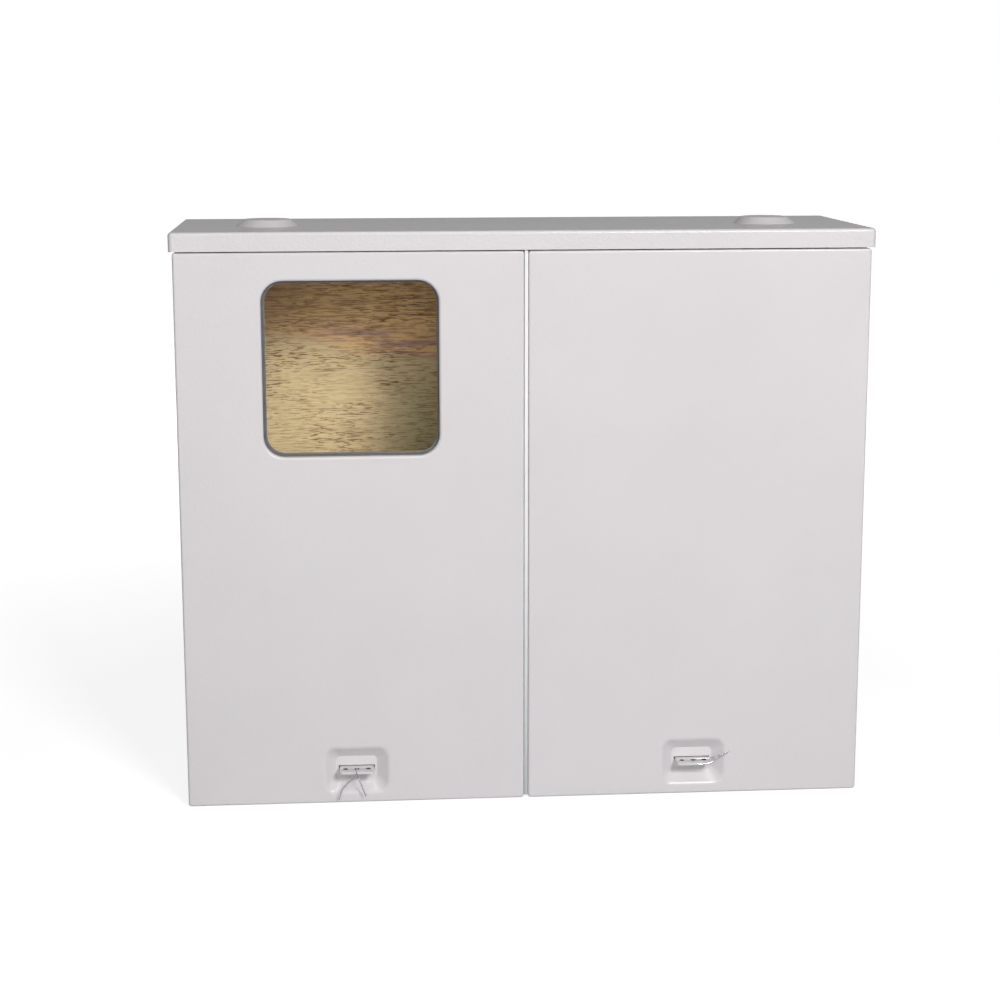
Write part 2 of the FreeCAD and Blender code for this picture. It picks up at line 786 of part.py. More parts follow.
def make_board_screws():
    """Round-head screws through the board and rails, with driver slots."""
    shank_length = board_thickness + sheet + board_nut_height + screw_end
    screws = []
    for x, z in board_screw_places():
        top_y = board_front_y - screw_head_height
        slot_low = (x - screw_head_radius, top_y, z - screw_slot_width / 2)
        slot_high = (x + screw_head_radius, top_y + screw_slot_depth, z + screw_slot_width / 2)
        head = domed_head(x, board_front_y, z, screw_head_radius, screw_head_height).cut(box(slot_low, slot_high))
        screws.append(head.fuse(cylinder((x, board_front_y, z), (0, 1, 0), shank_length, screw_radius)))
    return screws


def make_board_nuts():
    """Nuts behind the rails' tops."""
    y = rail_front_y + sheet
    nuts = []
    for x, z in board_screw_places():
        nuts.append(hexagon_nut((x, y, z), (0, 1, 0), board_nut_across, board_nut_height, screw_radius))
    return nuts


# Earth stud

def make_earth_stud():
    """Stud welded to the back wall."""
    return cylinder((earth_x, wall_y - sheet, earth_z), (0, -1, 0), earth_length, earth_radius)


def make_earth_washer():
    """Plain washer against the wall."""
    start = (earth_x, wall_y - sheet, earth_z)
    disc = cylinder(start, (0, -1, 0), earth_washer_thickness, earth_washer_radius)
    return disc.cut(cylinder(start, (0, -1, 0), earth_washer_thickness, earth_radius))


def make_earth_nut():
    """Nut that clamps the earth wire on the washer."""
    start = (earth_x, wall_y - sheet - earth_washer_thickness, earth_z)
    return hexagon_nut(start, (0, -1, 0), earth_nut_across, earth_nut_height, earth_radius)


def write(node, shape):
    """Save one piece, or one group of like pieces, under its name."""
    solid = Part.makeCompound(shape) if isinstance(shape, list) else shape
    solid.exportStep("parts/" + node + ".step")


write("case", make_case())
write("hood", make_hood())
write("mullion", make_mullion())
write("mullion_rivets", make_mullion_rivets())
write("left_cover", make_left_cover())
write("right_cover", make_right_cover())
write("left_pivot_pin", make_left_pivot_pin())
write("centre_pivot_pin", make_centre_pivot_pin())
write("right_pivot_pin", make_right_pivot_pin())
write("left_tongue", make_tongue(-1))
write("right_tongue", make_tongue(1))
write("tongue_rivets", make_tongue_rivets())
write("left_seal_wire", make_left_seal_wire())
write("right_seal_wire", make_right_seal_wire())
write("window_gasket", make_window_gasket())
write("window_pane", make_window_pane())
write("pane_retainer", make_pane_retainer())
write("retainer_studs", make_retainer_studs())
write("retainer_nuts", make_retainer_nuts())
write("meter_board", make_meter_board())
write("lower_board_rail", make_board_rail(rail_low_z))
write("upper_board_rail", make_board_rail(rail_high_z))
write("board_screws", make_board_screws())
write("board_nuts", make_board_nuts())
write("earth_stud", make_earth_stud())
write("earth_washer", make_earth_washer())
write("earth_nut", make_earth_nut())
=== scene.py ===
"""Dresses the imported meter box: sheet-metal skins, window, fittings, seal wires, finishes and stage."""

import json
import math

import bmesh
import bpy
from bpy.props import FloatProperty, FloatVectorProperty, IntProperty, PointerProperty
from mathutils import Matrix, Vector


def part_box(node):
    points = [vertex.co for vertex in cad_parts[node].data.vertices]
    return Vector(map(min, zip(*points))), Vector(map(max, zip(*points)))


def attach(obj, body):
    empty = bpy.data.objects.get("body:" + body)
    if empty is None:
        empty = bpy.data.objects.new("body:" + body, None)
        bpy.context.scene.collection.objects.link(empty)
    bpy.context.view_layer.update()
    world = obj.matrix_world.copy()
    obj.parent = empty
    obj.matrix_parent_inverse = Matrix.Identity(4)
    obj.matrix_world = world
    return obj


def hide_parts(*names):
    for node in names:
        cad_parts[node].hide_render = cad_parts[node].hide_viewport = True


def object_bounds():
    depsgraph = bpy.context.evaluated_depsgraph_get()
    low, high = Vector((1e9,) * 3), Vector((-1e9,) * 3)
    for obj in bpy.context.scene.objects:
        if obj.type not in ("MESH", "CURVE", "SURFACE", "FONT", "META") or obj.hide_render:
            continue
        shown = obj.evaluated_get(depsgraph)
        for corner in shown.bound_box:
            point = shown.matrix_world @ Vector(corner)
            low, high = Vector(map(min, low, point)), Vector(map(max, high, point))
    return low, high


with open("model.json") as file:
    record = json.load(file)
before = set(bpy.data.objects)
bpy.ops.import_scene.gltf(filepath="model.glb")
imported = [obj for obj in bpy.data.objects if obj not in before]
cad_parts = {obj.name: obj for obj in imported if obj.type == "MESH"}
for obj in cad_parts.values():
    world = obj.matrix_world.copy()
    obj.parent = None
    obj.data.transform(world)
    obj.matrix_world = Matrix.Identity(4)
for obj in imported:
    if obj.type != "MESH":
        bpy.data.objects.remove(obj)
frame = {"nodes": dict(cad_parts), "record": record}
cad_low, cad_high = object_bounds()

bl_info = {
    "name": "Meter Box",
    "version": (1, 0, 0),
    "blender": (4, 5, 0),
    "location": "3D View > Sidebar > Meter Box",
    "description": "Builds the pieces, finishes and stage of a hooded sheet-steel meter box",
    "category": "Object",
}


# Settings


def length(name, description, default):
    """A size in metres."""
    return FloatProperty(name=name, description=description, default=default, unit="LENGTH", precision=5)


def number(name, description, default):
    """A plain number."""
    return FloatProperty(name=name, description=description, default=default)


def turn(name, description, degrees):
    """An angle, given in degrees."""
    return FloatProperty(name=name, description=description, default=math.radians(degrees), unit="ROTATION")


def spot(name, description, default):
    """A place or a size in metres along two or three axes."""
    return FloatVectorProperty(name=name, description=description, default=default, unit="LENGTH",
                               size=len(default))


def colour(name, description, default):
    """A linear colour."""
    return FloatVectorProperty(name=name, description=description, default=default, subtype="COLOR",
                               min=0, max=1)


class SheetSettings(bpy.types.PropertyGroup):
    """Sheet steel that the hood and covers are folded from."""

    thickness: length("Thickness", "Thickness of the sheet", 0.0012)
    bend: length("Bend", "Outside radius of a fold", 0.002)
    steps: IntProperty(name="Steps", description="Faces round a quarter turn", default=8, min=3)


class HoodSettings(bpy.types.PropertyGroup):
    """Rain hood and its two pressed hubs."""

    edge_radius: length("Edge radius", "Rounding along the top edges", 0.003)
    corner_radius: length("Corner radius", "Rounding of the two front corners", 0.004)
    hub_base_radius: length("Hub base radius", "Foot of a hub's slope", 0.0275)
    hub_top_radius: length("Hub top radius", "Top of a hub's slope", 0.0205)
    hub_height: length("Hub height", "Height of a hub over the hood", 0.006)
    hub_bend: length("Hub bend", "Rounding of a hub's foot and shoulder", 0.0015)
    hub_from_front: length("Hub from front", "Middle of a hub behind the lip", 0.086)
    hub_from_side: length("Hub from side", "Middle of a hub from the hood's side", 0.080)
    knockout_radius: length("Knockout radius", "Scored ring in a hub's top", 0.016)
    score_width: length("Score width", "Width of the scored ring", 0.0008)
    score_depth: length("Score depth", "Depth of the scored ring", 0.0005)


class CoverSettings(bpy.types.PropertyGroup):
    """Folded covers, their latch pockets and the window."""

    corner_radius: length("Corner radius", "Rounding of a cover's corners", 0.0026)
    top_flange: length("Top flange", "Depth of the top flange", 0.004)
    inner_flange: length("Inner flange", "Depth of the inner and bottom flanges", 0.009)
    pocket_width: length("Pocket width", "Width of the pocket's mouth", 0.056)
    pocket_height: length("Pocket height", "Height of the pocket's mouth", 0.041)
    pocket_inset: length("Pocket inset", "Run of the pocket's slopes", 0.010)
    pocket_depth: length("Pocket depth", "Depth of the pocket's floor", 0.009)
    pocket_centre: length("Pocket centre", "Height of the pocket's middle", 0.030)
    pocket_corner: length("Pocket corner", "Corner radius of the pocket's mouth", 0.009)
    floor_corner: length("Floor corner", "Corner radius of the pocket's floor", 0.004)
    pocket_bend: length("Pocket bend", "Rounding of the pocket's mouth", 0.006)
    pocket_foot: length("Pocket foot", "Rounding round the pocket's floor", 0.0012)
    slot_clearance: length("Slot clearance", "Room round the tongue in its slot", 0.0009)
    slot_corner: length("Slot corner", "Corner radius of the slot", 0.0004)
    window_size: length("Window size", "Width and height of the window", 0.150)
    window_corner: length("Window corner", "Corner radius of the window", 0.018)
    window_roll: length("Window roll", "Radius of the window's rolled edge", 0.0025)
    window_flange: length("Window flange", "Depth of the window's turned edge", 0.006)


class WindowSettings(bpy.types.PropertyGroup):
    """Rubber gasket and clear pane."""

    gasket_lip: length("Gasket lip", "Width of rubber that shows inside the window", 0.0024)
    gasket_shift: length("Gasket shift", "How far the rubber was fitted off centre, across and up", 0.0006)
    gasket_bead: length("Gasket bead", "Radius of the rubber's rounded lip", 0.0009)
    gasket_seat: length("Gasket seat", "How far the rubber's groove reaches under the window's edge", 0.0006)
    pane_overlap: length("Pane overlap", "Width of pane behind the window's edge", 0.007)
    pane_bevel: length("Pane bevel", "Bevel of the pane's edges", 0.0004)


class MullionSettings(bpy.types.PropertyGroup):
    """Mullion between the covers."""

    spread: number("Spread", "How much wider than two sheets the rib's hem was left", 1.25)
    flatten: number("Flatten", "Share of its roundness that the hem's nose keeps", 0.35)


class LatchSettings(bpy.types.PropertyGroup):
    """Latch tongues and seal wires."""

    plate: length("Plate", "Thickness of a tongue", 0.002)
    tip_radius: length("Tip radius", "Rounding of a tongue's two front corners", 0.003)
    bend: length("Bend", "Outside radius where the tongue turns down", 0.0018)
    hole_radius: length("Hole radius", "Radius of the holes in a tongue", 0.0021)
    hole_pitch: length("Hole pitch", "Distance between the holes", 0.010)
    hole_from_tip: length("Hole from tip", "Middle of the holes behind the tip", 0.0095)
    edge: length("Edge", "Worn rounding of a tongue's edges", 0.00025)
    wire_radius: length("Wire radius", "Radius of the seal wire", 0.0005)
    twist_offset: length("Twist offset", "Distance of each twisted strand from its middle line", 0.00042)
    twist_splay: length("Twist splay", "Extra distance from strand to middle line at the tail's start", 0.004)
    twist_turns: number("Twist turns", "Turns of the twisted tail", 3.5)


class FastenerSettings(bpy.types.PropertyGroup):
    """Rivets, screws, nuts, studs and the washer."""

    rivet_head: length("Rivet head", "Height of a blind rivet's head", 0.0014)
    rivet_tail: length("Rivet tail", "Height of a blind rivet's swollen tail", 0.0026)
    rivet_hole: length("Rivet hole", "Radius of the hole that a blind rivet's mandrel leaves", 0.0008)
    slot_width: length("Slot width", "Width of a screw's driver slot", 0.0012)
    slot_depth: length("Slot depth", "Depth of a screw's driver slot", 0.0012)
    thread_pitch: length("Thread pitch", "Pitch of the studs' threads", 0.0007)
    thread_depth: length("Thread depth", "Depth of the threads", 0.0003)
    steps: IntProperty(name="Steps", description="Faces round a fastener", default=40, min=12)


class FinishSettings(bpy.types.PropertyGroup):
    """Colours of the finishes and relief of the coat."""

    coat: colour("Coat", "Powder coat of the steelwork", (0.735, 0.703, 0.712))
    peel: length("Peel", "Depth of the coat's orange peel", 0.00018)
    hood_peel: length("Hood peel", "Depth of the orange peel on the hood", 0.00045)
    mullion_coat: colour("Mullion coat", "White coat of the mullion", (0.93, 0.93, 0.93))
    # Painted shade: near-black colour for the walls of the tongues' holes, which lie in shade
    hole_shade: colour("Painted hole shade", "Inside of the punched holes", (0.09, 0.09, 0.095))
    aluminium: colour("Aluminium", "Blind rivets", (0.72, 0.72, 0.73))
    zinc: colour("Zinc", "Plated screws, nuts, studs and pins", (0.62, 0.63, 0.64))
    galvanised: colour("Galvanised", "Rails and pane retainer", (0.56, 0.57, 0.58))
    brass: colour("Brass", "Washer on the earth stud", (0.70, 0.48, 0.18))
    wire: colour("Wire", "Seal wire", (0.76, 0.76, 0.78))
    rubber: colour("Rubber", "Window gasket", (0.135, 0.130, 0.127))
    glass: colour("Glass", "Pane", (0.97, 0.985, 0.97))
    timber_light: colour("Light timber", "Lower part of the board", (0.61, 0.462, 0.268))
    timber_dark: colour("Dark timber", "Upper part of the board", (0.82, 0.51, 0.245))
    timber_fleck: colour("Timber fleck", "Short flecks in the grain", (0.21, 0.10, 0.05))
    # Painted shade: greenish-grey for the board's lower right, added on top of the real shadow of the cover's
    # right edge
    timber_shade: colour("Painted timber shade", "Painted greenish shade at the lower right", (0.42, 0.37, 0.21))


class StageSettings(bpy.types.PropertyGroup):
    """Camera, lamps, reflection cards and floor."""

    camera_place: spot("Camera place", "Camera's place", (-0.1616, -1.8322, 0.6071))
    camera_down: turn("Camera down", "Camera's tilt below the horizon", 10.938)
    camera_right: turn("Camera right", "Camera's turn to the right", 4.581)
    camera_roll: turn("Camera roll", "Camera's roll", 0.082)
    lens: number("Lens", "Focal length in millimetres", 74.11)
    sensor: number("Sensor", "Width of the camera's sensor in millimetres", 36.0)
    lamp_target: spot("Lamp target", "Point that every lamp faces", (0.0, 0.0, 0.25))
    key_place: spot("Key place", "Main lamp's place", (0.74, -2.3, 1.47))
    key_size: length("Key size", "Width and height of the main lamp", 0.6)
    key_power: number("Key power", "Power of the main lamp in watts", 41.0)
    fill_place: spot("Fill place", "Soft front lamp's place", (-0.45, -2.4, 0.75))
    fill_size: length("Fill size", "Width and height of the soft front lamp", 1.4)
    fill_power: number("Fill power", "Power of the soft front lamp in watts", 19.2)
    back_place: spot("Back place", "Soft back lamp's place", (0.0, 2.6, 0.2))
    back_size: length("Back size", "Width and height of the soft back lamp", 0.6)
    back_power: number("Back power", "Power of the soft back lamp in watts", 12.0)
    dark_card_place: spot("Dark card place", "Middle of the dark card before the box", (-0.15, -1.25, 0.37))
    dark_card_size: spot("Dark card size", "Width and height of the dark card", (1.1, 0.72))
    bright_card_place: spot("Bright card place", "Middle of the bright card over the box", (0.0, -1.0, 2.2))
    bright_card_size: spot("Bright card size", "Width and height of the bright card", (1.6, 1.0))
    bright_card_lean: turn("Bright card lean", "Bright card's lean from upright", 62.0)
    bright_card_glow: number("Bright card glow", "Brightness of the bright card", 4.0)
    world_light: number("World light", "Strength of the surrounding light", 0.06)
    world_shine: number("World shine", "Strength of the surroundings in reflections", 0.45)
    floor_reach: length("Floor reach", "Half the floor's width", 600.0)
    floor_gap: length("Floor gap", "Room between the box and the floor", 0.0002)
    floor_glow: number("Floor glow", "Brightness of the floor by itself under the box", 0.84)
    floor_near: length("Floor near", "Distance from the origin where the floor starts to brighten", 0.5)
    floor_far: length("Floor far", "Distance from the origin where the floor is fully bright", 1.3)
    floor_catch: number("Floor catch", "How much of the light the seen floor returns", 0.42)
    floor_colour: colour("Floor", "Floor and backdrop", (0.47, 0.49, 0.52))


class MeterBoxSettings(bpy.types.PropertyGroup):
    """All the settings of the meter box."""

    sheet: PointerProperty(type=SheetSettings)
    hood: PointerProperty(type=HoodSettings)
    covers: PointerProperty(type=CoverSettings)
    window: PointerProperty(type=WindowSettings)
    mullion: PointerProperty(type=MullionSettings)
    latch: PointerProperty(type=LatchSettings)
    fasteners: PointerProperty(type=FastenerSettings)
    finishes: PointerProperty(type=FinishSettings)
    stage: PointerProperty(type=StageSettings)


# Meshes

WELD = 1e-6


class Skin:
    """Rings of points and the faces between them, gathered into one surface."""

    def __init__(self, node=None):
        """Starts empty, or from a CAD node's own surface with its points welded."""
        self.mesh = bmesh.new()
        if node:
            self.mesh.from_mesh(frame["nodes"][node].data)
            bmesh.ops.remove_doubles(self.mesh, verts=self.mesh.verts, dist=WELD)

    def ring(self, points):
        """New points in a row."""
        return [self.mesh.verts.new(point) for point in points]

    def upright(self, outline, y, side=1):
        """New points in an upright plane from an outline (across, up), mirrored when the side is -1."""
        return self.ring([(side * across, y, up) for across, up in outline])

    def join(self, first, second, closed=True):
        """Quads between two rows of equal length."""
        count = len(first)
        for i in range(count if closed else count - 1):
            j = (i + 1) % count
            self.mesh.faces.new((first[i], first[j], second[j], second[i]))

    def loft(self, rings, closed=True):
        """Quads between each row and the next."""
        for first, second in zip(rings, rings[1:]):
            self.join(first, second, closed)

    def fill(self, *outlines):
        """Flat face inside the first outline, with the others as holes."""
        edges = []
        for outline in outlines:
            for i, vert in enumerate(outline):
                pair = (vert, outline[(i + 1) % len(outline)])
                edges.append(self.mesh.edges.get(pair) or self.mesh.edges.new(pair))
        bmesh.ops.triangle_fill(self.mesh, edges=edges, use_beauty=True)

    def stack(self, levels, steps, side=1):
        """Quads round upright rounded rectangles, each given by its centre, size, corner radius and depth."""
        rings = [self.upright(rounded_outline(centre, size, corner, steps), y, side)
                 for centre, size, corner, y in levels]
        self.loft(rings)
        return rings

    def piece(self, name, outwards=None):
        """Object made of the faces; those of an open skin turn the way that most of its area should face."""
        bmesh.ops.recalc_face_normals(self.mesh, faces=self.mesh.faces)
        if outwards:
            total = sum((face.normal * face.calc_area() for face in self.mesh.faces), Vector())
            if total.dot(Vector(outwards)) < 0:
                bmesh.ops.reverse_faces(self.mesh, faces=self.mesh.faces)
        mesh = bpy.data.meshes.new(name)
        self.mesh.to_mesh(mesh)
        self.mesh.free()
        return new_object(name, mesh)


def new_object(name, data):
    """Object in the scene, at the origin."""
    thing = bpy.data.objects.new(name, data)
    bpy.context.scene.collection.objects.link(thing)
    return thing


def settle(thing):
    """Turns an object's evaluated shape into its plain mesh."""
    bpy.context.view_layer.update()
    evaluated = thing.evaluated_get(bpy.context.evaluated_depsgraph_get())
    mesh = bpy.data.meshes.new_from_object(evaluated)
    mesh.name = thing.name
    if thing.type != "MESH":
        settled = new_object(thing.name + "_mesh", mesh)
        name = thing.name
        bpy.data.objects.remove(thing)
        settled.name = name
        return settled
    thing.modifiers.clear()
    thing.data = mesh
    return thing


def smooth(thing, angle=40):
    """Smooth faces with sharp folds left sharp."""
    thing.data.shade_smooth()
    thing.data.set_sharp_from_angle(angle=math.radians(angle))
    return thing


def solidify(thing, thickness):
    """Gives an open skin its thickness inwards."""
    sheet = thing.modifiers.new("Sheet", "SOLIDIFY")
    sheet.thickness = thickness
    sheet.offset = -1
    sheet.use_even_offset = True
    return sheet


def thicken(thing, thickness):
    """Makes an open skin a smooth sheet."""
    solidify(thing, thickness).use_quality_normals = True
    thing = smooth(settle(thing))
    weighted = thing.modifiers.new("Shading", "WEIGHTED_NORMAL")
    weighted.keep_sharp = True
    return settle(thing)


def arc(radius, start, end, steps):
    """Offsets (across, along) of points on an arc between two angles in degrees."""
    angles = [math.radians(start + (end - start) * i / steps) for i in range(steps + 1)]
    return [(radius * math.cos(angle), radius * math.sin(angle)) for angle in angles]


def bent_profile(run, drop, bend, foot, steps):
    """Outline (inset, depth) of a pressed slope with one rounding at its start and another at its foot."""
    slope = math.atan2(drop, run)
    half = math.tan(slope / 2)
    turns = [slope * i / steps for i in range(steps + 1)]
    profile = [(bend * (math.sin(turned) - half), bend * (1 - math.cos(turned))) for turned in turns]
    profile += [(run - foot * (math.sin(turned) - half), drop - foot * (1 - math.cos(turned)))
                for turned in reversed(turns)]
    return profile


def rounded_outline(centre, size, radius, steps):
    """Points (across, up) of a rounded rectangle, clockwise from its top right corner."""
    points = []
    for corner, (right, up) in enumerate(((1, 1), (1, -1), (-1, -1), (-1, 1))):
        x = centre[0] + right * (size[0] / 2 - radius)
        z = centre[1] + up * (size[1] / 2 - radius)
        points += [(x + a, z + b) for a, b in arc(radius, 90 - 90 * corner, -90 * corner, steps)]
    return points


def inset_corner(radius, inset):
    """Corner radius that is left after an inset, never quite sharp."""
    return max(radius - inset, radius * 0.1)


def face_centre(low, high):
    """Middle (across, up) of a box seen from the front."""
    return ((low.x + high.x) / 2, (low.z + high.z) / 2)


def loose_parts(node):
    """Boxes (low, high) of the separate solids in a CAD node."""
    mesh = Skin(node).mesh
    waiting = set(mesh.verts)
    boxes = []
    while waiting:
        front = [waiting.pop()]
        low, high = front[0].co.copy(), front[0].co.copy()
        while front:
            vert = front.pop()
            low = Vector(map(min, low, vert.co))
            high = Vector(map(max, high, vert.co))
            near = {edge.other_vert(vert) for edge in vert.link_edges} & waiting
            waiting -= near
            front += near
        boxes.append((low, high))
    mesh.free()
    return boxes


def finish_of(slot_name):
    """The finish made for a slot of the record."""
    return bpy.data.materials["finish_" + slot_name]


def place(thing, body, slot_name, *nodes, finish=None):
    """Puts a piece on its body in place of CAD nodes, in its slot's finish or another that is named."""
    thing.data.materials.clear()
    thing.data.materials.append(finish_of(finish or slot_name))
    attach(thing, body)
    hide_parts(*nodes)


# Node trees


def arithmetic(operation):
    """Method that does one step of arithmetic with a math node."""
    return lambda value, *others: value.nodes.math(operation, value, *others)


class Value:
    """Output of a node. Plain arithmetic on it adds math nodes to its tree."""

    def __init__(self, nodes, socket):
        self.nodes = nodes
        self.socket = socket

    def __rsub__(self, other):
        return self.nodes.math("SUBTRACT", other, self)

    __add__ = arithmetic("ADD")
    __sub__ = arithmetic("SUBTRACT")
    __mul__ = arithmetic("MULTIPLY")
    __truediv__ = arithmetic("DIVIDE")
    __pow__ = arithmetic("POWER")
    __lt__ = arithmetic("LESS_THAN")
    __abs__ = arithmetic("ABSOLUTE")


class Nodes:
    """Node tree with short ways to add, set and link its nodes."""

    def __init__(self, tree):
        self.tree = tree

    def feed(self, socket, value):
        """Sets a socket, or links it when the value comes out of a node. A colour gets its alpha here."""
        if isinstance(value, Value):
            value = value.socket
        if isinstance(value, bpy.types.NodeSocket):
            self.tree.links.new(value, socket)
        elif socket.type == "RGBA":
            socket.default_value = (*value, 1)
        else:
            socket.default_value = value

    def node(self, kind, inputs=None, **settings):
        """New node with its settings and inputs."""
        node = self.tree.nodes.new(kind)
        for key, value in settings.items():
            setattr(node, key, value)
        for key, value in (inputs or {}).items():
            self.feed(node.inputs[key], value)
        return node

    def out(self, output, kind, inputs=None, **settings):
        """One output of a new node."""
        return Value(self, self.node(kind, inputs, **settings).outputs[output])

    def math(self, operation, *values):
        """Arithmetic on one to three values."""
        return self.out(0, "ShaderNodeMath", dict(enumerate(values)), operation=operation)

    def ramp(self, value, low, high, first=0.0, last=1.0):
        """Value between two limits, carried to two others and held there."""
        limits = {"Value": value, "From Min": low, "From Max": high, "To Min": first, "To Max": last}
        return self.out("Result", "ShaderNodeMapRange", limits, clamp=True)

    def seen(self):
        """1 to the camera, straight or through the pane, and 0 to every other ray."""
        path = self.node("ShaderNodeLightPath").outputs
        return self.math("MAXIMUM", path["Is Camera Ray"], path["Is Transmission Ray"])


# Finishes


def tinted(base, *factors):
    """Colour times one factor, or times a factor for each channel."""
    factors = factors if len(factors) == 3 else factors * 3
    return tuple(channel * factor for channel, factor in zip(base, factors))


class Finish(Nodes):
    """Node material with its Principled shader at hand."""

    def __init__(self, name, base, roughness, metallic=0.0, specular=0.5):
        self.material = bpy.data.materials.new(name)
        self.material.use_nodes = True
        super().__init__(self.material.node_tree)
        self.shader = self.tree.nodes["Principled BSDF"]
        self.where = self.out("Object", "ShaderNodeTexCoord")
        self.give("Base Color", tuple(base))
        self.give("Roughness", roughness)
        self.give("Metallic", metallic)
        self.give("Specular IOR Level", specular)

    def give(self, name, value):
        """Feeds one input of the shader."""
        self.feed(self.shader.inputs[name], value)

    def coordinate(self, axis):
        """One of the object coordinates."""
        return self.out(axis, "ShaderNodeSeparateXYZ", {"Vector": self.where})

    def stretched(self, scale, angles=(0, 0, 0)):
        """Object coordinates, scaled and turned."""
        mapping = {"Vector": self.where, "Scale": scale, "Rotation": angles}
        return self.out("Vector", "ShaderNodeMapping", mapping)

    def noise(self, scale, detail=2.0, roughness=0.5, vector=None, distortion=0.0):
        """Noise from 0 to 1."""
        return self.out("Fac", "ShaderNodeTexNoise", {
            "Vector": vector or self.where, "Scale": scale, "Detail": detail, "Roughness": roughness,
            "Distortion": distortion})

    def grain(self, across, up, detail, roughness=0.5, distortion=0.0):
        """Noise drawn out level, with so many cells in a metre across and up."""
        return self.noise(1.0, detail, roughness, self.stretched((across, across, up)), distortion)

    def mix(self, share, first, second):
        """Colour between two colours."""
        return self.out(2, "ShaderNodeMix", {"Factor": share, 6: first, 7: second}, data_type="RGBA")

    def bump(self, height, distance, strength):
        """Surface relief on top of any relief already there."""
        relief = {"Height": height, "Distance": distance, "Strength": strength}
        normal = self.shader.inputs["Normal"]
        if normal.links:
            relief["Normal"] = normal.links[0].from_socket
        self.feed(normal, self.out("Normal", "ShaderNodeBump", relief))

    def vary_roughness(self, value, low, high):
        """Roughness that follows a value."""
        self.give("Roughness", self.ramp(value, 0.3, 0.7, low, high))

    def blend(self, share, first, second):
        """Shows one shader turning into another as the share rises."""
        mixed = self.out("Shader", "ShaderNodeMixShader", {"Fac": share, 1: first, 2: second})
        self.feed(self.tree.nodes["Material Output"].inputs["Surface"], mixed)


def powder_coat(name, base, peel):
    """Satin powder coat with orange peel of a given depth and a faint mottle."""
    finish = Finish(name, base, 0.3, specular=0.42)
    mottle = finish.noise(9.0, 3.0)
    speck = finish.noise(1400.0, 2.0)
    share = finish.ramp(mottle, 0.35, 0.65, 0, 0.8) + finish.ramp(speck, 0.3, 0.7, 0, 0.2)
    finish.give("Base Color", finish.mix(share, tinted(base, 0.985), tinted(base, 1.012)))
    finish.vary_roughness(mottle, 0.22, 0.262)
    finish.bump(finish.noise(400.0, 1.5), peel, 0.8)
    finish.bump(speck, 0.00004, 0.4)
    return finish


def punched_coat(name, tones, node, latch):
    """Powder coat of the tongues, with painted dark shade inside the punched holes."""
    finish = powder_coat(name, tones.coat, tones.peel)
    low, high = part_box(node)
    # The painted shade reaches a little past each hole's edge
    rim = 0.00005
    from_middle = abs(finish.coordinate("X")) - abs(low.x + high.x) / 2
    along = finish.math("WRAP", from_middle, latch.hole_pitch / 2, -latch.hole_pitch / 2)
    behind = finish.coordinate("Y") - (low.y + latch.hole_from_tip)
    inside = (along ** 2.0 + behind ** 2.0) ** 0.5 < latch.hole_radius + rim
    hole_shade_mask = inside * (abs(from_middle) < latch.hole_pitch * 1.5)
    coated = finish.shader.inputs["Base Color"].links[0].from_socket
    # Painted shade: the holes' walls take the near-black colour in place of the coat
    finish.give("Base Color", finish.mix(hole_shade_mask, coated, tuple(tones.hole_shade)))


def plated(name, base, rough_low, rough_high, metallic=1.0):
    """Plated or uncoated metal with fine drawn lines and cloudy roughness."""
    finish = Finish(name, base, rough_low, metallic)
    cloud = finish.noise(160.0, 3.0)
    finish.give("Base Color", finish.mix(finish.ramp(cloud, 0.3, 0.7), tinted(base, 0.86), tuple(base)))
    finish.vary_roughness(cloud, rough_low, rough_high)
    finish.bump(finish.noise(2200.0, 2.0), 0.00002, 0.4)


def spangled_zinc(name, base):
    """Galvanised sheet with its crystal spangle."""
    finish = Finish(name, base, 0.5, 1.0)
    cells = {"Vector": finish.where, "Scale": 110.0}
    crystal = finish.out("Color", "ShaderNodeTexVoronoi", cells, feature="F1")
    shade = finish.out("Red", "ShaderNodeSeparateColor", {"Color": crystal})
    finish.give("Base Color", finish.mix(shade, tinted(base, 0.78), tuple(base)))
    finish.give("Roughness", finish.ramp(shade, 0, 1, 0.42, 0.6))
    finish.bump(finish.noise(900.0, 2.0), 0.00002, 0.4)


def rubber(name, base):
    """Matt rubber with a bloom of dust."""
    finish = Finish(name, base, 0.62)
    bloom = finish.noise(240.0, 3.0)
    dusty = tuple(channel * 1.25 + 0.01 for channel in base)
    finish.give("Base Color", finish.mix(finish.ramp(bloom, 0.35, 0.7), tuple(base), dusty))
    finish.vary_roughness(bloom, 0.36, 0.5)
    finish.bump(finish.noise(1800.0, 2.0), 0.00002, 0.5)


def clear_pane(name, tint):
    """Clear pane with faint wipe marks, which lets the lamps light what is behind it."""
    finish = Finish(name, tint, 0.02)
    finish.give("Transmission Weight", 1.0)
    finish.give("IOR", 1.49)
    smear = finish.noise(30.0, 4.0, vector=finish.stretched((1.0, 1.0, 0.25), (0, 0.6, 0)))
    finish.give("Roughness", finish.ramp(smear, 0.55, 0.8, 0.0, 0.004))
    passing = finish.out("BSDF", "ShaderNodeBsdfTransparent", {"Color": tuple(tint)})
    in_shadow = finish.out("Is Shadow Ray", "ShaderNodeLightPath")
    finish.blend(in_shadow, finish.shader.outputs["BSDF"], passing)


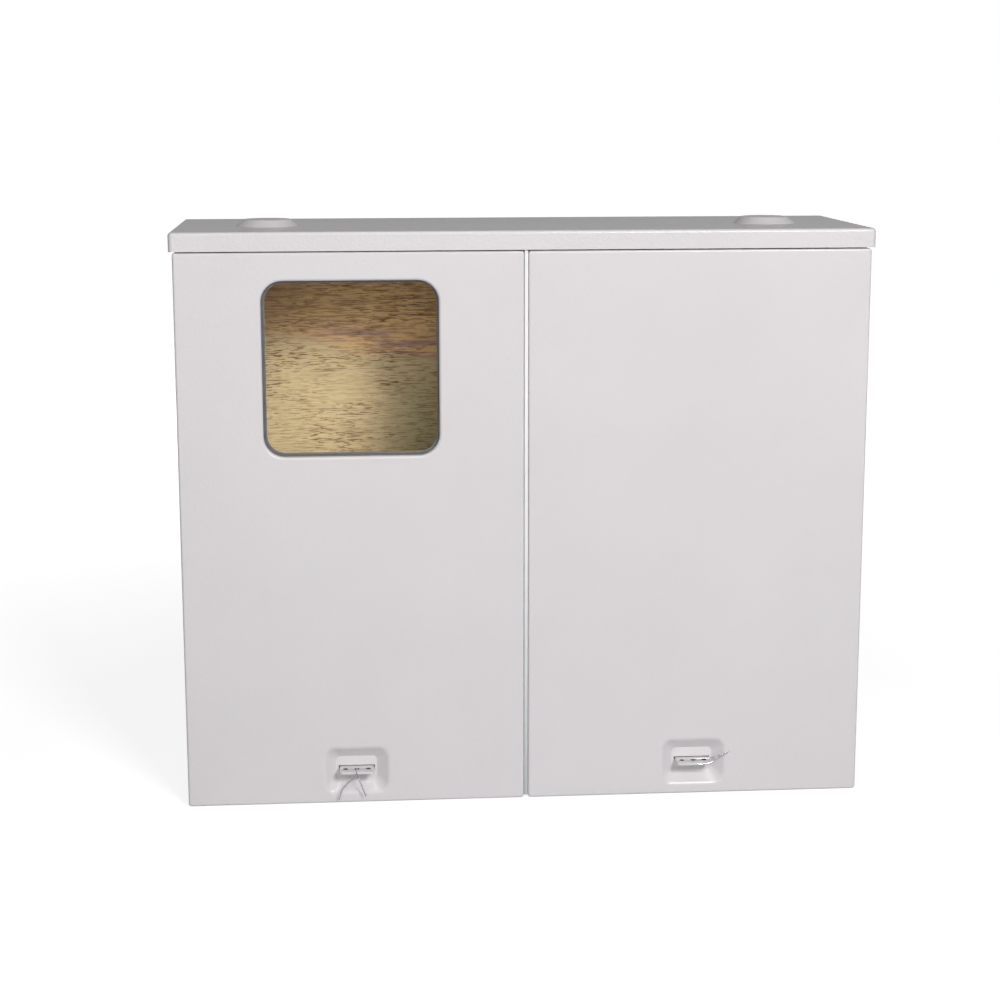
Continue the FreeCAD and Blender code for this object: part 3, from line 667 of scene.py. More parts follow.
def timber(name, tones, node):
    """Oiled board with level grain: a browner upper part, a dark seam under it, flecks and a painted greenish
    shade at the lower right.
    """
    low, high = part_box(node)
    edge_share, edge_drop, edge_lean, edge_wander = 0.805, 0.018, -0.11, 0.012
    edge_height = low.z + edge_share * (high.z - low.z) - edge_drop
    right_shade_side, right_shade_top = (-0.118, -0.09), (0.372, 0.34)
    dusk_side, seam_side = (-0.165, -0.225), (-0.19, -0.12)

    finish = Finish(name, tones.timber_light, 0.6, specular=0.15)
    across, up = finish.coordinate("X"), finish.coordinate("Z")
    line = finish.grain(30.0, 620.0, 3.0, 0.6, 0.3)
    streak = finish.grain(11.0, 150.0, 4.0, 0.6, 0.5)
    broad = finish.grain(9.0, 50.0, 3.0, 0.55, 0.8)
    fleck = finish.grain(120.0, 1250.0, 1.5, 0.5, 0.3)
    dash = finish.grain(55.0, 700.0, 2.0, 0.5, 0.4)
    patch = finish.grain(16.0, 52.0, 2.0)
    edge = finish.ramp(broad, 0.25, 0.75, -edge_wander, edge_wander) + (across * edge_lean + edge_height)
    above = up - edge
    dark = tuple(tones.timber_fleck)

    dull = tinted(tones.timber_light, 0.84)
    lower = finish.mix(finish.ramp(line, 0.35, 0.65), dull, tinted(tones.timber_light, 1.08))
    lower = finish.mix(finish.ramp(streak, 0.5, 0.72, 0.0, 0.4), lower, dull)
    # Painted shade: greenish-grey darkening towards the lower right, where the cover's right edge shades the
    # board
    right_shade = finish.ramp(across, *right_shade_side) * finish.ramp(up, *right_shade_top)
    lower = finish.mix(right_shade * finish.ramp(patch, 0.35, 0.6, 0.35, 0.8), lower, tuple(tones.timber_shade))

    dusky = tinted(tones.timber_dark, 0.68, 0.72, 0.85)
    plum = tinted(tones.timber_dark, 0.55, 0.53, 1.0)
    upper = finish.mix(finish.ramp(line, 0.35, 0.65, 0.0, 0.35), tuple(tones.timber_dark), dusky)
    upper = finish.mix(finish.ramp(across, *dusk_side, 0.0, 0.7), upper, dusky)
    upper = finish.mix(finish.ramp(streak, 0.5, 0.62, 0.0, 0.55), upper, dusky)
    seam = finish.ramp(above, 0.03, 0.012) * finish.ramp(streak, 0.4, 0.55)
    upper = finish.mix(seam * finish.ramp(across, *seam_side, 0.35, 1.0) * 0.85, upper, plum)
    upper = finish.mix(finish.ramp(dash, 0.51, 0.61, 0.0, 0.5), upper, dark)

    board = finish.mix(finish.ramp(above, -0.003, 0.005), lower, upper)
    marks = finish.ramp(fleck, 0.525, 0.61) * finish.ramp(patch, 0.36, 0.6, 0.25, 0.9)
    finish.give("Base Color", finish.mix(marks, board, dark))
    finish.vary_roughness(streak, 0.55, 0.7)
    finish.bump(line, 0.0002, 0.3)
    finish.bump(fleck, 0.0001, 0.3)


class METERBOX_OT_finishes(bpy.types.Operator):
    """Make every finish and give it to the carried-over nodes"""

    bl_idname = "meterbox.finishes"
    bl_label = "Finishes"

    def execute(self, context):
        settings = context.scene.meter_box
        tones = settings.finishes
        powder_coat("finish_coat", tones.coat, tones.peel)
        powder_coat("finish_hood_coat", tones.coat, tones.hood_peel)
        powder_coat("finish_mullion_coat", tones.mullion_coat, tones.peel)
        punched_coat("finish_punched_coat", tones, "left_tongue", settings.latch)
        plated("finish_rivet", tones.aluminium, 0.3, 0.42)
        plated("finish_zinc", tones.zinc, 0.28, 0.4)
        plated("finish_brass_fitting", tones.brass, 0.28, 0.4)
        plated("finish_seal_wire", tones.wire, 0.18, 0.26, 0.85)
        spangled_zinc("finish_galvanised", tones.galvanised)
        rubber("finish_gasket", tones.rubber)
        clear_pane("finish_pane", tones.glass)
        timber("finish_timber", tones, "meter_board")
        for entry in frame["record"]["subparts"]:
            node = frame["nodes"][entry["node"]]
            node.data.materials.clear()
            node.data.materials.append(finish_of(entry["material_slot"]))
        return {"FINISHED"}


# Hood


def hood_path(half_width, front_y, back_y, radius, inset, steps):
    """Open row of points (x, y) along the hood's left side, front and right side."""
    corner = inset_corner(radius, inset)
    x = half_width - inset - corner
    y = front_y + inset + corner
    points = [(-half_width + inset, back_y)]
    points += [(-x + a, y + b) for a, b in arc(corner, 180, 270, steps)]
    points += [(x + a, y + b) for a, b in arc(corner, 270, 360, steps)]
    points.append((half_width - inset, back_y))
    return points


def hub_rings(skin, centre, top_z, sizes, steps):
    """Pressed hub with its scored knockout; returns the ring at its foot."""
    run = sizes.hub_base_radius - sizes.hub_top_radius
    slope = bent_profile(run, sizes.hub_height, sizes.hub_bend, sizes.hub_bend, steps // 2)
    profile = [(sizes.hub_base_radius - inset, rise) for inset, rise in slope]
    score_out = sizes.knockout_radius
    score_in = score_out - sizes.score_width
    score_floor = sizes.hub_height - sizes.score_depth
    slant = sizes.score_width * 0.3
    profile += [(score_out, sizes.hub_height), (score_out - slant, score_floor),
                (score_in + slant, score_floor), (score_in, sizes.hub_height)]
    rings = []
    for radius, rise in profile:
        points = arc(radius, 0, 360, steps * 8)[:-1]
        rings.append(skin.ring([(centre[0] + x, centre[1] + y, top_z + rise) for x, y in points]))
    skin.loft(rings)
    skin.fill(rings[-1])
    return rings[0]


class METERBOX_OT_hood(bpy.types.Operator):
    """Build the rain hood as one pressed skin of sheet"""

    bl_idname = "meterbox.hood"
    bl_label = "Hood"

    def execute(self, context):
        settings = context.scene.meter_box
        sizes, steps = settings.hood, settings.sheet.steps
        low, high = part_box("hood")
        top_z = high.z - sizes.hub_height
        skin = Skin()
        levels = [(0.0, low.z)]
        for across, along in arc(sizes.edge_radius, 0, 90, steps):
            levels.append((sizes.edge_radius - across, top_z - sizes.edge_radius + along))
        rows = []
        for inset, z in levels:
            path = hood_path(high.x, low.y, high.y, sizes.corner_radius, inset, steps)
            rows.append(skin.ring([(x, y, z) for x, y in path]))
        skin.loft(rows, closed=False)
        feet = []
        for side in (-1, 1):
            centre = (side * (high.x - sizes.hub_from_side), low.y + sizes.hub_from_front)
            feet.append(hub_rings(skin, centre, top_z, sizes, steps))
        skin.fill(rows[-1], *feet)
        hood = thicken(skin.piece("hood_shell", (0, 0, 1)), settings.sheet.thickness)
        place(hood, "box", "coat", "hood", finish="hood_coat")
        return {"FINISHED"}


# Covers


def pocket_rings(skin, side, centre, face_y, sizes, steps):
    """Pressed latch pocket; returns its rings from the mouth to the floor."""
    shrink = (sizes.pocket_corner - sizes.floor_corner) / sizes.pocket_inset
    profile = bent_profile(sizes.pocket_inset, sizes.pocket_depth, sizes.pocket_bend, sizes.pocket_foot,
                           steps)
    levels = []
    for inset, depth in profile:
        size = (sizes.pocket_width - 2 * inset, sizes.pocket_height - 2 * inset)
        levels.append((centre, size, sizes.pocket_corner - shrink * inset, face_y + depth))
    return skin.stack(levels, steps, side)


def window_rings(skin, side, centre, face_y, sizes, steps):
    """Rolled and turned edge of the window; returns the ring that lies in the cover's face."""
    roll = sizes.window_roll
    profile = [(roll - along, roll - across) for across, along in arc(roll, 0, 90, steps)]
    profile.append((0.0, sizes.window_flange))
    levels = [(centre, (sizes.window_size + 2 * reach,) * 2, sizes.window_corner + reach, face_y + depth)
              for reach, depth in profile]
    return skin.stack(levels, steps, side)[0]


def cover_skin(side, hand, settings):
    """Folded pan of one cover with its pocket, as an open skin; returns it with the outlines of its face."""
    sizes, sheet, plate = settings.covers, settings.sheet, settings.latch.plate
    low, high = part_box(hand + "_cover")
    inner, outer = sorted((abs(low.x), abs(high.x)))
    centre = ((inner + outer) / 2, (low.z + high.z) / 2)
    size = (outer - inner, high.z - low.z)
    levels = []
    for across, along in arc(sheet.bend, 90, 0, sheet.steps):
        inset = sheet.bend - across
        levels.append((centre, (size[0] - 2 * inset, size[1] - 2 * inset),
                       inset_corner(sizes.corner_radius, inset), low.y + sheet.bend - along))
    skin = Skin()
    rings = skin.stack(levels, sheet.steps, side)

    # The top flange is the shallowest; the others run from the outer side's top round to the inner side's top
    top_end = skin.ring([(vert.co.x, low.y + sizes.top_flange, vert.co.z) for vert in rings[-1]])
    skin.join(rings[-1], top_end)
    below = top_end[sheet.steps:3 * (sheet.steps + 1) + 1]
    flange_end = skin.ring([(vert.co.x, low.y + sizes.inner_flange, vert.co.z) for vert in below])
    skin.join(below, flange_end, closed=False)
    # The outer side, between the first two points, reaches the back of the cover
    outer_end = skin.ring([(vert.co.x, high.y, vert.co.z) for vert in flange_end[:2]])
    skin.join(flange_end[:2], outer_end, closed=False)

    pocket = pocket_rings(skin, side, (centre[0], sizes.pocket_centre), low.y, sizes, sheet.steps)
    tongue_low, tongue_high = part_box(hand + "_tongue")
    room = 2 * sizes.slot_clearance
    slot_size = (tongue_high.x - tongue_low.x + room, plate + room)
    slot_centre = (centre[0], tongue_high.z - plate / 2)
    slot_steps = 3
    slot = rounded_outline(slot_centre, slot_size, sizes.slot_corner, slot_steps)
    skin.fill(pocket[-1], skin.upright(slot, low.y + sizes.pocket_depth, side))
    return skin, [rings[0], pocket[0]]


class METERBOX_OT_covers(bpy.types.Operator):
    """Build the two covers: folded pans with latch pockets, and the left one's window"""

    bl_idname = "meterbox.covers"
    bl_label = "Covers"

    def execute(self, context):
        settings = context.scene.meter_box
        for side, hand in ((1, "right"), (-1, "left")):
            skin, outlines = cover_skin(side, hand, settings)
            if hand == "left":
                across, up = face_centre(*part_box("window_gasket"))
                face_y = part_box("left_cover")[0].y
                outlines.append(window_rings(skin, side, (side * across, up), face_y, settings.covers,
                                             settings.sheet.steps))
            skin.fill(*outlines)
            cover = thicken(skin.piece(hand + "_cover_pan", (0, -1, 0)), settings.sheet.thickness)
            place(cover, hand + "_door", "coat", hand + "_cover")
        return {"FINISHED"}


# Window


def gasket_frame(settings):
    """Flat rubber frame with a bead and a groove round the opening."""
    low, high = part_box("window_gasket")
    centre = face_centre(low, high)
    sizes, steps = settings.window, settings.sheet.steps
    bead = sizes.gasket_bead
    inner_half = settings.covers.window_size / 2 - sizes.gasket_lip
    outer_half = (high.x - low.x) / 2
    seat = settings.covers.window_size / 2 + sizes.gasket_seat
    corner = settings.covers.window_corner - sizes.gasket_lip - inner_half
    profile = [(outer_half, low.y), (seat, low.y), (seat, low.y + bead)]
    profile += [(inner_half + bead + across, low.y + bead - along)
                for across, along in arc(bead, 0, 180, steps)]
    profile += [(inner_half, high.y), (outer_half, high.y)]
    levels = []
    for half, y in profile:
        shift = sizes.gasket_shift if half < outer_half else 0.0
        levels.append(((centre[0] + shift, centre[1] + shift), (2 * half, 2 * half), corner + half, y))
    skin = Skin()
    rings = skin.stack(levels, steps)
    skin.join(rings[-1], rings[0])
    return smooth(skin.piece("gasket_frame"), angle=50)


def pane_glass(settings):
    """Rounded slab with bevelled edges."""
    low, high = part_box("window_pane")
    bevel = settings.window.pane_bevel
    corner = settings.covers.window_corner + settings.window.pane_overlap
    corner_steps = 10
    levels = [(face_centre(low, high), (high.x - low.x - 2 * inset,) * 2, corner - inset, y)
              for inset, y in ((bevel, low.y), (0, low.y + bevel), (0, high.y - bevel), (bevel, high.y))]
    skin = Skin()
    rings = skin.stack(levels, corner_steps)
    skin.fill(rings[0])
    skin.fill(rings[-1])
    return smooth(skin.piece("pane_glass"), angle=30)


class METERBOX_OT_window(bpy.types.Operator):
    """Build the rubber gasket and the clear pane behind the window"""

    bl_idname = "meterbox.window"
    bl_label = "Window"

    def execute(self, context):
        settings = context.scene.meter_box
        place(gasket_frame(settings), "left_door", "gasket", "window_gasket")
        place(pane_glass(settings), "left_door", "pane", "window_pane")
        return {"FINISHED"}


# Mullion


class METERBOX_OT_mullion(bpy.types.Operator):
    """Build the mullion from its CAD form, with the hem of its rib left open and pressed flat in front"""

    bl_idname = "meterbox.mullion"
    bl_label = "Mullion"

    def execute(self, context):
        settings = context.scene.meter_box
        sizes, thickness = settings.mullion, settings.sheet.thickness
        low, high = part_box("mullion")
        strip_front = high.y - thickness - 10 * WELD
        skin = Skin("mullion")
        for vert in skin.mesh.verts:
            x, y, z = vert.co
            if y < strip_front:
                x = math.copysign(max(abs(x), min(abs(x), thickness) * sizes.spread), x)
            if y < low.y + thickness:
                y = low.y + (y - low.y) * sizes.flatten
            vert.co = (x, y, z)
        place(smooth(skin.piece("mullion_strip"), angle=30), "box", "mullion_coat", "mullion")
        return {"FINISHED"}


# Tongues and seal wires


def tongue_skin(node, latch, steps):
    """Top and back face of one tongue as an open skin: flat with three holes, bend and leg."""
    low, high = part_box(node)
    middle = (low.x + high.x) / 2
    radius = latch.tip_radius
    bend_start = high.y - latch.bend
    outline = [(high.x, bend_start)]
    outline += [(high.x - radius + a, low.y + radius + b) for a, b in arc(radius, 0, -90, steps)]
    outline += [(low.x + radius + a, low.y + radius + b) for a, b in arc(radius, -90, -180, steps)]
    outline.append((low.x, bend_start))
    skin = Skin()
    edge = skin.ring([(x, y, high.z) for x, y in outline])
    holes = []
    for i in (-1, 0, 1):
        centre = (middle + i * latch.hole_pitch, low.y + latch.hole_from_tip)
        points = arc(latch.hole_radius, 0, 360, steps * 4)[:-1]
        holes.append(skin.ring([(centre[0] + a, centre[1] + b, high.z) for a, b in points]))
    skin.fill(edge, *holes)
    rows = [[edge[0], edge[-1]]]
    for across, along in arc(latch.bend, 90, 0, steps)[1:]:
        y, z = bend_start + across, high.z - latch.bend + along
        rows.append(skin.ring([(high.x, y, z), (low.x, y, z)]))
    rows.append(skin.ring([(high.x, high.y, low.z), (low.x, high.y, low.z)]))
    skin.loft(rows, closed=False)
    return skin


class METERBOX_OT_tongues(bpy.types.Operator):
    """Build the two latch tongues that stand out through the covers"""

    bl_idname = "meterbox.tongues"
    bl_label = "Tongues"

    def execute(self, context):
        settings = context.scene.meter_box
        for node in ("left_tongue", "right_tongue"):
            skin = tongue_skin(node, settings.latch, settings.sheet.steps)
            tongue = skin.piece(node + "_plate", (0, 0, 1))
            solidify(tongue, settings.latch.plate)
            bevel = tongue.modifiers.new("Edge", "BEVEL")
            bevel.width = settings.latch.edge
            bevel.segments = 2
            bevel.limit_method = "ANGLE"
            bevel.angle_limit = math.radians(50)
            place(smooth(settle(tongue), angle=50), "box", "coat", node, finish="punched_coat")
        return {"FINISHED"}


def wire_curve(name, points, radius):
    """Round wire along a smooth line through given points."""
    data = bpy.data.curves.new(name, "CURVE")
    data.dimensions = "3D"
    data.bevel_depth = radius
    data.bevel_resolution = 5
    data.use_fill_caps = True
    data.resolution_u = 10
    spline = data.splines.new("NURBS")
    spline.points.add(len(points) - 1)
    for knot, point in zip(spline.points, points):
        knot.co = (*point, 1)
    spline.order_u = 3
    spline.use_endpoint_u = True
    return new_object(name, data)


def line_points(name, points):
    """Points read along a smooth line."""
    line = settle(wire_curve(name, points, 0.0))
    found = [vert.co.copy() for vert in line.data.vertices]
    bpy.data.objects.remove(line)
    return found


def twisted_pair(points, offset, splay, turns):
    """Two rows of points that start apart, one before the other, and wind ever closer round a line."""
    strands = ([], [])
    last = len(points) - 1
    for i, point in enumerate(points):
        along = (points[min(i + 1, last)] - points[max(i - 1, 0)]).normalized()
        side = along.cross(Vector((0, 0, 1))).normalized()
        radius = offset + splay * (1 - i / last) ** 3
        angle = 2 * math.pi * turns * (i / last) ** 3
        for strand, phase in zip(strands, (0, math.pi)):
            swing = side * math.cos(angle + phase) + side.cross(along) * math.sin(angle + phase)
            strand.append(point + swing * radius)
    return strands


def from_tongue(node, route):
    """Places in metres of points given in millimetres from the middle of a tongue's tip, on its top."""
    low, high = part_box(node)
    origin = Vector(((low.x + high.x) / 2, low.y, high.z))
    return [origin + Vector(point) / 1000 for point in route]


LEFT_WIRE = [
    (-16.0, 3.4, -26.0), (-14.4, 3.0, -18.0), (-8.5, 0.8, -10.0), (-1.6, -1.1, -4.7), (-0.4, -1.1, -1.0),
    (-0.3, -1.0, 1.0), (0.0, 4.0, 1.1), (0.0, 9.3, 1.0), (0.0, 9.5, -1.2), (0.0, 9.4, -3.8),
    (0.6, 3.5, -5.0), (2.8, 1.6, -10.5), (7.4, 3.0, -23.0),
]
RIGHT_WIRE = [
    (13.0, 9.0, 1.2), (6.0, 9.4, 1.0), (1.0, 9.5, 1.0), (0.0, 9.5, -0.6), (0.0, 9.4, -3.7),
    (-0.3, 3.5, -3.6), (-0.2, -0.6, -3.0), (0.2, -1.1, -1.6), (1.4, -1.1, -0.6), (7.0, -1.1, -0.7),
    (13.0, -1.0, -0.3),
]
TWISTED_TAIL = [(16.2, 4.6, 1.5), (21.0, 5.3, 3.4), (26.5, 5.8, 5.4), (31.6, 5.8, 8.3)]


class METERBOX_OT_seal_wires(bpy.types.Operator):
    """Build the seal wires through the tongues, and the right one's twisted tail"""

    bl_idname = "meterbox.seal_wires"
    bl_label = "Seal wires"

    def execute(self, context):
        latch = context.scene.meter_box.latch
        middle = line_points("tail_line", from_tongue("right_tongue", TWISTED_TAIL))
        front, rear = twisted_pair(middle, latch.twist_offset, latch.twist_splay, latch.twist_turns)
        routes = {"left": from_tongue("left_tongue", LEFT_WIRE),
                  "right": rear[::-1] + from_tongue("right_tongue", RIGHT_WIRE) + front}
        for hand, route in routes.items():
            wire = settle(wire_curve(hand + "_wire", route, latch.wire_radius))
            place(smooth(wire), "box", "seal_wire", hand + "_seal_wire")
        return {"FINISHED"}


# Fasteners

Z_TO_FRONT = (math.radians(90), 0, 0)


def label(key):
    """A socket's label from its plain-word key."""
    return key.replace("_", " ").capitalize()


class Maker(Nodes):
    """Geometry Nodes tree that puts one made shape at every point it is given."""

    def __init__(self, name, **sizes):
        super().__init__(bpy.data.node_groups.new(name, "GeometryNodeTree"))
        face = self.tree.interface
        face.new_socket("Places", in_out="INPUT", socket_type="NodeSocketGeometry")
        for key, default in sizes.items():
            kind = "NodeSocketInt" if isinstance(default, int) else "NodeSocketFloat"
            face.new_socket(label(key), in_out="INPUT", socket_type=kind).default_value = default
        face.new_socket("Finish", in_out="INPUT", socket_type="NodeSocketMaterial")
        face.new_socket("Fasteners", in_out="OUTPUT", socket_type="NodeSocketGeometry")
        self.given = self.node("NodeGroupInput").outputs
        for key in sizes:
            setattr(self, key, Value(self, self.given[label(key)]))

    def point(self, x=0.0, y=0.0, z=0.0):
        """Vector from three values."""
        return self.out("Vector", "ShaderNodeCombineXYZ", {"X": x, "Y": y, "Z": z})

    def moved(self, shape, **change):
        """Shape after a move and a scale."""
        inputs = {label(key): value for key, value in change.items()}
        return self.out("Geometry", "GeometryNodeTransform", {"Geometry": shape, **inputs})

    def bar(self, radius, depth, centre_z=0.0, sides=None):
        """Round or many-sided bar along Z."""
        mesh = self.out("Mesh", "GeometryNodeMeshCylinder", {
            "Vertices": sides or self.sides, "Radius": radius, "Depth": depth})
        return self.moved(mesh, translation=self.point(z=centre_z))

    def ball(self, radius, rings):
        """Ball round the origin."""
        return self.out("Mesh", "GeometryNodeMeshUVSphere", {
            "Segments": self.sides, "Rings": rings, "Radius": radius})

    def block(self, x, y, z, centre_z):
        """Block round the Z axis."""
        mesh = self.out("Mesh", "GeometryNodeMeshCube", {"Size": self.point(x, y, z)})
        return self.moved(mesh, translation=self.point(z=centre_z))

    def cut(self, shape, tool):
        """Shape less a tool."""
        return self.out("Mesh", "GeometryNodeMeshBoolean", {"Mesh 1": shape, "Mesh 2": tool},
                        operation="DIFFERENCE", solver="EXACT")

    def together(self, kind, *shapes, **settings):
        """Shapes fed into the one many-part input of a node."""
        node = self.node(kind, **settings)
        many = next(socket for socket in node.inputs if socket.is_multi_input)
        for shape in shapes:
            self.feed(many, shape)
        return Value(self, node.outputs[0])

    def common(self, first, second):
        """What two shapes share."""
        return self.together("GeometryNodeMeshBoolean", second, first, operation="INTERSECT", solver="EXACT")

    def dome(self, radius, height):
        """Cap of a ball that stands on the plane z = 0."""
        around = (radius * radius + height * height) / (height * 2.0)
        sunk = self.moved(self.ball(around, 40), translation=self.point(z=height - around))
        return self.common(sunk, self.block(0.1, 0.1, 0.1, 0.05))

    def finish(self, *shapes):
        """Ends the tree: the shapes at every place, facing the front, realised and with their finish."""
        shape = self.together("GeometryNodeJoinGeometry", *shapes)
        flat = self.out("Geometry", "GeometryNodeSetShadeSmooth", {"Geometry": shape, "Shade Smooth": False})
        spread = self.out("Instances", "GeometryNodeInstanceOnPoints", {
            "Points": self.given["Places"], "Instance": flat, "Rotation": Z_TO_FRONT})
        real = self.out("Geometry", "GeometryNodeRealizeInstances", {"Geometry": spread})
        dressed = self.out("Geometry", "GeometryNodeSetMaterial", {
            "Geometry": real, "Material": self.given["Finish"]})
        self.node("NodeGroupOutput", {"Fasteners": dressed})
        return self.tree


def rivet_tree():
    """Blind rivet along Z: domed head with its mandrel hole, and swollen tail a grip behind z = 0."""
    rivet = Maker("Blind rivet", head_radius=0.0033, head_height=0.0014, mandrel_radius=0.0008, grip=0.0024,
                  tail_radius=0.0025, tail_height=0.0026, sides=40)
    hole = rivet.bar(rivet.mandrel_radius, rivet.head_height, rivet.head_height)
    head = rivet.cut(rivet.dome(rivet.head_radius, rivet.head_height), hole)
    half_tail = rivet.tail_height * 0.5
    tail = rivet.moved(rivet.ball(1.0, 20), translation=rivet.point(z=(rivet.grip + half_tail) * -1.0),
                       scale=rivet.point(rivet.tail_radius, rivet.tail_radius, half_tail))
    return rivet.finish(head, tail)


def screw_tree():
    """Round-head screw along Z with a driver slot and a plain shank behind z = 0."""
    screw = Maker("Slotted screw", head_radius=0.0049, head_height=0.0032, slot_width=0.0012,
                  slot_depth=0.0012, shank_radius=0.0025, shank_length=0.0232, sides=40)
    slot = screw.block(0.02, screw.slot_width, screw.slot_depth, screw.head_height - screw.slot_depth * 0.4)
    head = screw.cut(screw.dome(screw.head_radius, screw.head_height), slot)
    shank = screw.bar(screw.shank_radius, screw.shank_length, screw.shank_length * -0.5)
    return screw.finish(head, shank)


def nut_tree():
    """Hexagonal nut along Z with chamfered corners, its middle at z = 0."""
    nut = Maker("Hexagonal nut", across_flats=0.007, height=0.0032, hole_radius=0.002, sides=40)
    hexagon = nut.bar(nut.across_flats / math.sqrt(3), nut.height, sides=6)
    half = nut.height * 0.5
    rim = nut.across_flats * 0.49
    chamfer = nut.ball(nut.math("SQRT", rim * rim + half * half) * 1.04, 30)
    return nut.finish(nut.cut(nut.common(hexagon, chamfer), nut.bar(nut.hole_radius, nut.height * 2.0)))


def stud_tree():
    """Threaded stud along Z, its middle at z = 0; the thread is a row of fine rounded rings."""
    stud = Maker("Threaded stud", radius=0.002, length=0.009, pitch=0.0007, thread_depth=0.0003, sides=32)
    half = stud.length * 0.5
    line = stud.out("Curve", "GeometryNodeCurvePrimitiveLine", {
        "Start": stud.point(z=half * -1.0), "End": stud.point(z=half)})
    turns = stud.length / stud.pitch
    count = stud.math("CEIL", turns * 6.0)
    fine = stud.out("Curve", "GeometryNodeResampleCurve", {"Curve": line, "Count": count})
    angle = stud.out("Factor", "GeometryNodeSplineParameter") * turns * (2 * math.pi)
    groove = (1.0 - stud.math("SINE", angle)) * 0.5 * stud.thread_depth
    circle = stud.out("Curve", "GeometryNodeCurvePrimitiveCircle", {"Resolution": stud.sides, "Radius": 1.0})
    return stud.finish(stud.out("Mesh", "GeometryNodeCurveToMesh", {
        "Curve": fine, "Profile Curve": circle, "Scale": stud.radius - groove, "Fill Caps": True}))


def washer_tree():
    """Flat washer along Z, its middle at z = 0."""
    washer = Maker("Washer", radius=0.0064, hole_radius=0.003, thickness=0.0016, sides=48)
    disc = washer.bar(washer.radius, washer.thickness)
    return washer.finish(washer.cut(disc, washer.bar(washer.hole_radius, washer.thickness * 2.0)))


def part_size(node):
    """Width, depth and height of the first solid in a CAD node."""
    low, high = loose_parts(node)[0]
    return high - low


def fit(name, node, body, slot_name, tree, behind, **sizes):
    """Sets a maker's shape at every solid of a CAD node, a distance behind the solid's front, as one mesh."""
    places = [((low.x + high.x) / 2, low.y + behind, (low.z + high.z) / 2) for low, high in loose_parts(node)]
    mesh = bpy.data.meshes.new(name)
    mesh.from_pydata(places, [], [])
    fasteners = new_object(name, mesh)
    maker = fasteners.modifiers.new("Maker", "NODES")
    maker.node_group = tree
    values = {label(key): value for key, value in sizes.items()}
    values["Finish"] = finish_of(slot_name)
    for item in tree.interface.items_tree:
        if item.name in values:
            maker[item.identifier] = values[item.name]
    fasteners.data.materials.append(values["Finish"])
    place(smooth(settle(fasteners), angle=35), body, slot_name, node)


class METERBOX_OT_fasteners(bpy.types.Operator):
    """Set every rivet, screw, nut, stud and washer in its CAD place"""

    bl_idname = "meterbox.fasteners"
    bl_label = "Fasteners"

    def execute(self, context):
        sizes = context.scene.meter_box.fasteners
        rivet, nut, stud = rivet_tree(), nut_tree(), stud_tree()
        for node in ("mullion_rivets", "tongue_rivets"):
            grip = part_size(node).y - sizes.rivet_head - sizes.rivet_tail
            fit(node + "_set", node, "box", "rivet", rivet, sizes.rivet_head, head_height=sizes.rivet_head,
                tail_height=sizes.rivet_tail, mandrel_radius=sizes.rivet_hole, grip=grip, sides=sizes.steps)

        low, high = loose_parts("board_screws")[0]
        board_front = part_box("meter_board")[0].y
        head = board_front - low.y
        fit("board_screw_set", "board_screws", "box", "zinc", screw_tree(), head, head_height=head,
            shank_length=high.y - board_front, slot_width=sizes.slot_width, slot_depth=sizes.slot_depth,
            sides=sizes.steps)

        for node, body, hole in (("board_nuts", "box", 0.0025), ("retainer_nuts", "left_door", 0.002),
                                 ("earth_nut", "box", 0.003)):
            size = part_size(node)
            fit(node + "_set", node, body, "zinc", nut, size.y / 2, across_flats=min(size.x, size.z),
                height=size.y, hole_radius=hole, sides=sizes.steps)

        for node, body in (("retainer_studs", "left_door"), ("earth_stud", "box")):
            size = part_size(node)
            fit(node + "_set", node, body, "zinc", stud, size.y / 2, radius=size.x / 2, length=size.y,
                pitch=sizes.thread_pitch, thread_depth=sizes.thread_depth, sides=sizes.steps)

        size = part_size("earth_washer")
        fit("earth_washer_disc", "earth_washer", "box", "brass_fitting", washer_tree(), size.y / 2,
            radius=size.x / 2, thickness=size.y)
        return {"FINISHED"}


# Stage


def soft_lamp(name, stage):
    """Large square lamp that faces the box, as the settings that start with its name say."""
    data = bpy.data.lights.new(name, "AREA")
    data.shape = "SQUARE"
    data.size = getattr(stage, name + "_size")
    data.energy = getattr(stage, name + "_power")
    lamp = new_object(name, data)
    lamp.location = getattr(stage, name + "_place")
    facing = Vector(stage.lamp_target) - lamp.location
    lamp.rotation_euler = facing.to_track_quat("-Z", "Y").to_euler()
    return lamp


def flat_piece(name, middle, across, up, finish):
    """Flat rectangle from its middle and the vectors to its right and upper edges."""
    corners = [Vector(middle) + right * across + high * up
               for right, high in ((-1, -1), (1, -1), (1, 1), (-1, 1))]
    mesh = bpy.data.meshes.new(name)
    mesh.from_pydata(corners, [], [(0, 1, 2, 3)])
    mesh.materials.append(finish.material)
    piece = new_object(name, mesh)
    return piece


def reflection_card(name, stage, lean, glow):
    """Card that only reflections see: dark, for pane and metal, or bright, for the pressed edges."""
    finish = Finish(name, (0.02, 0.02, 0.02), 0.9, specular=0.0)
    finish.give("Emission Color", (1, 1, 1))
    finish.give("Emission Strength", glow)
    width, height = getattr(stage, name + "_size")
    up = Vector((0, math.sin(lean), math.cos(lean))) * height / 2
    card = flat_piece(name, getattr(stage, name + "_place"), Vector((width / 2, 0, 0)), up, finish)
    card.visible_camera = False
    card.visible_diffuse = False
    card.visible_shadow = False


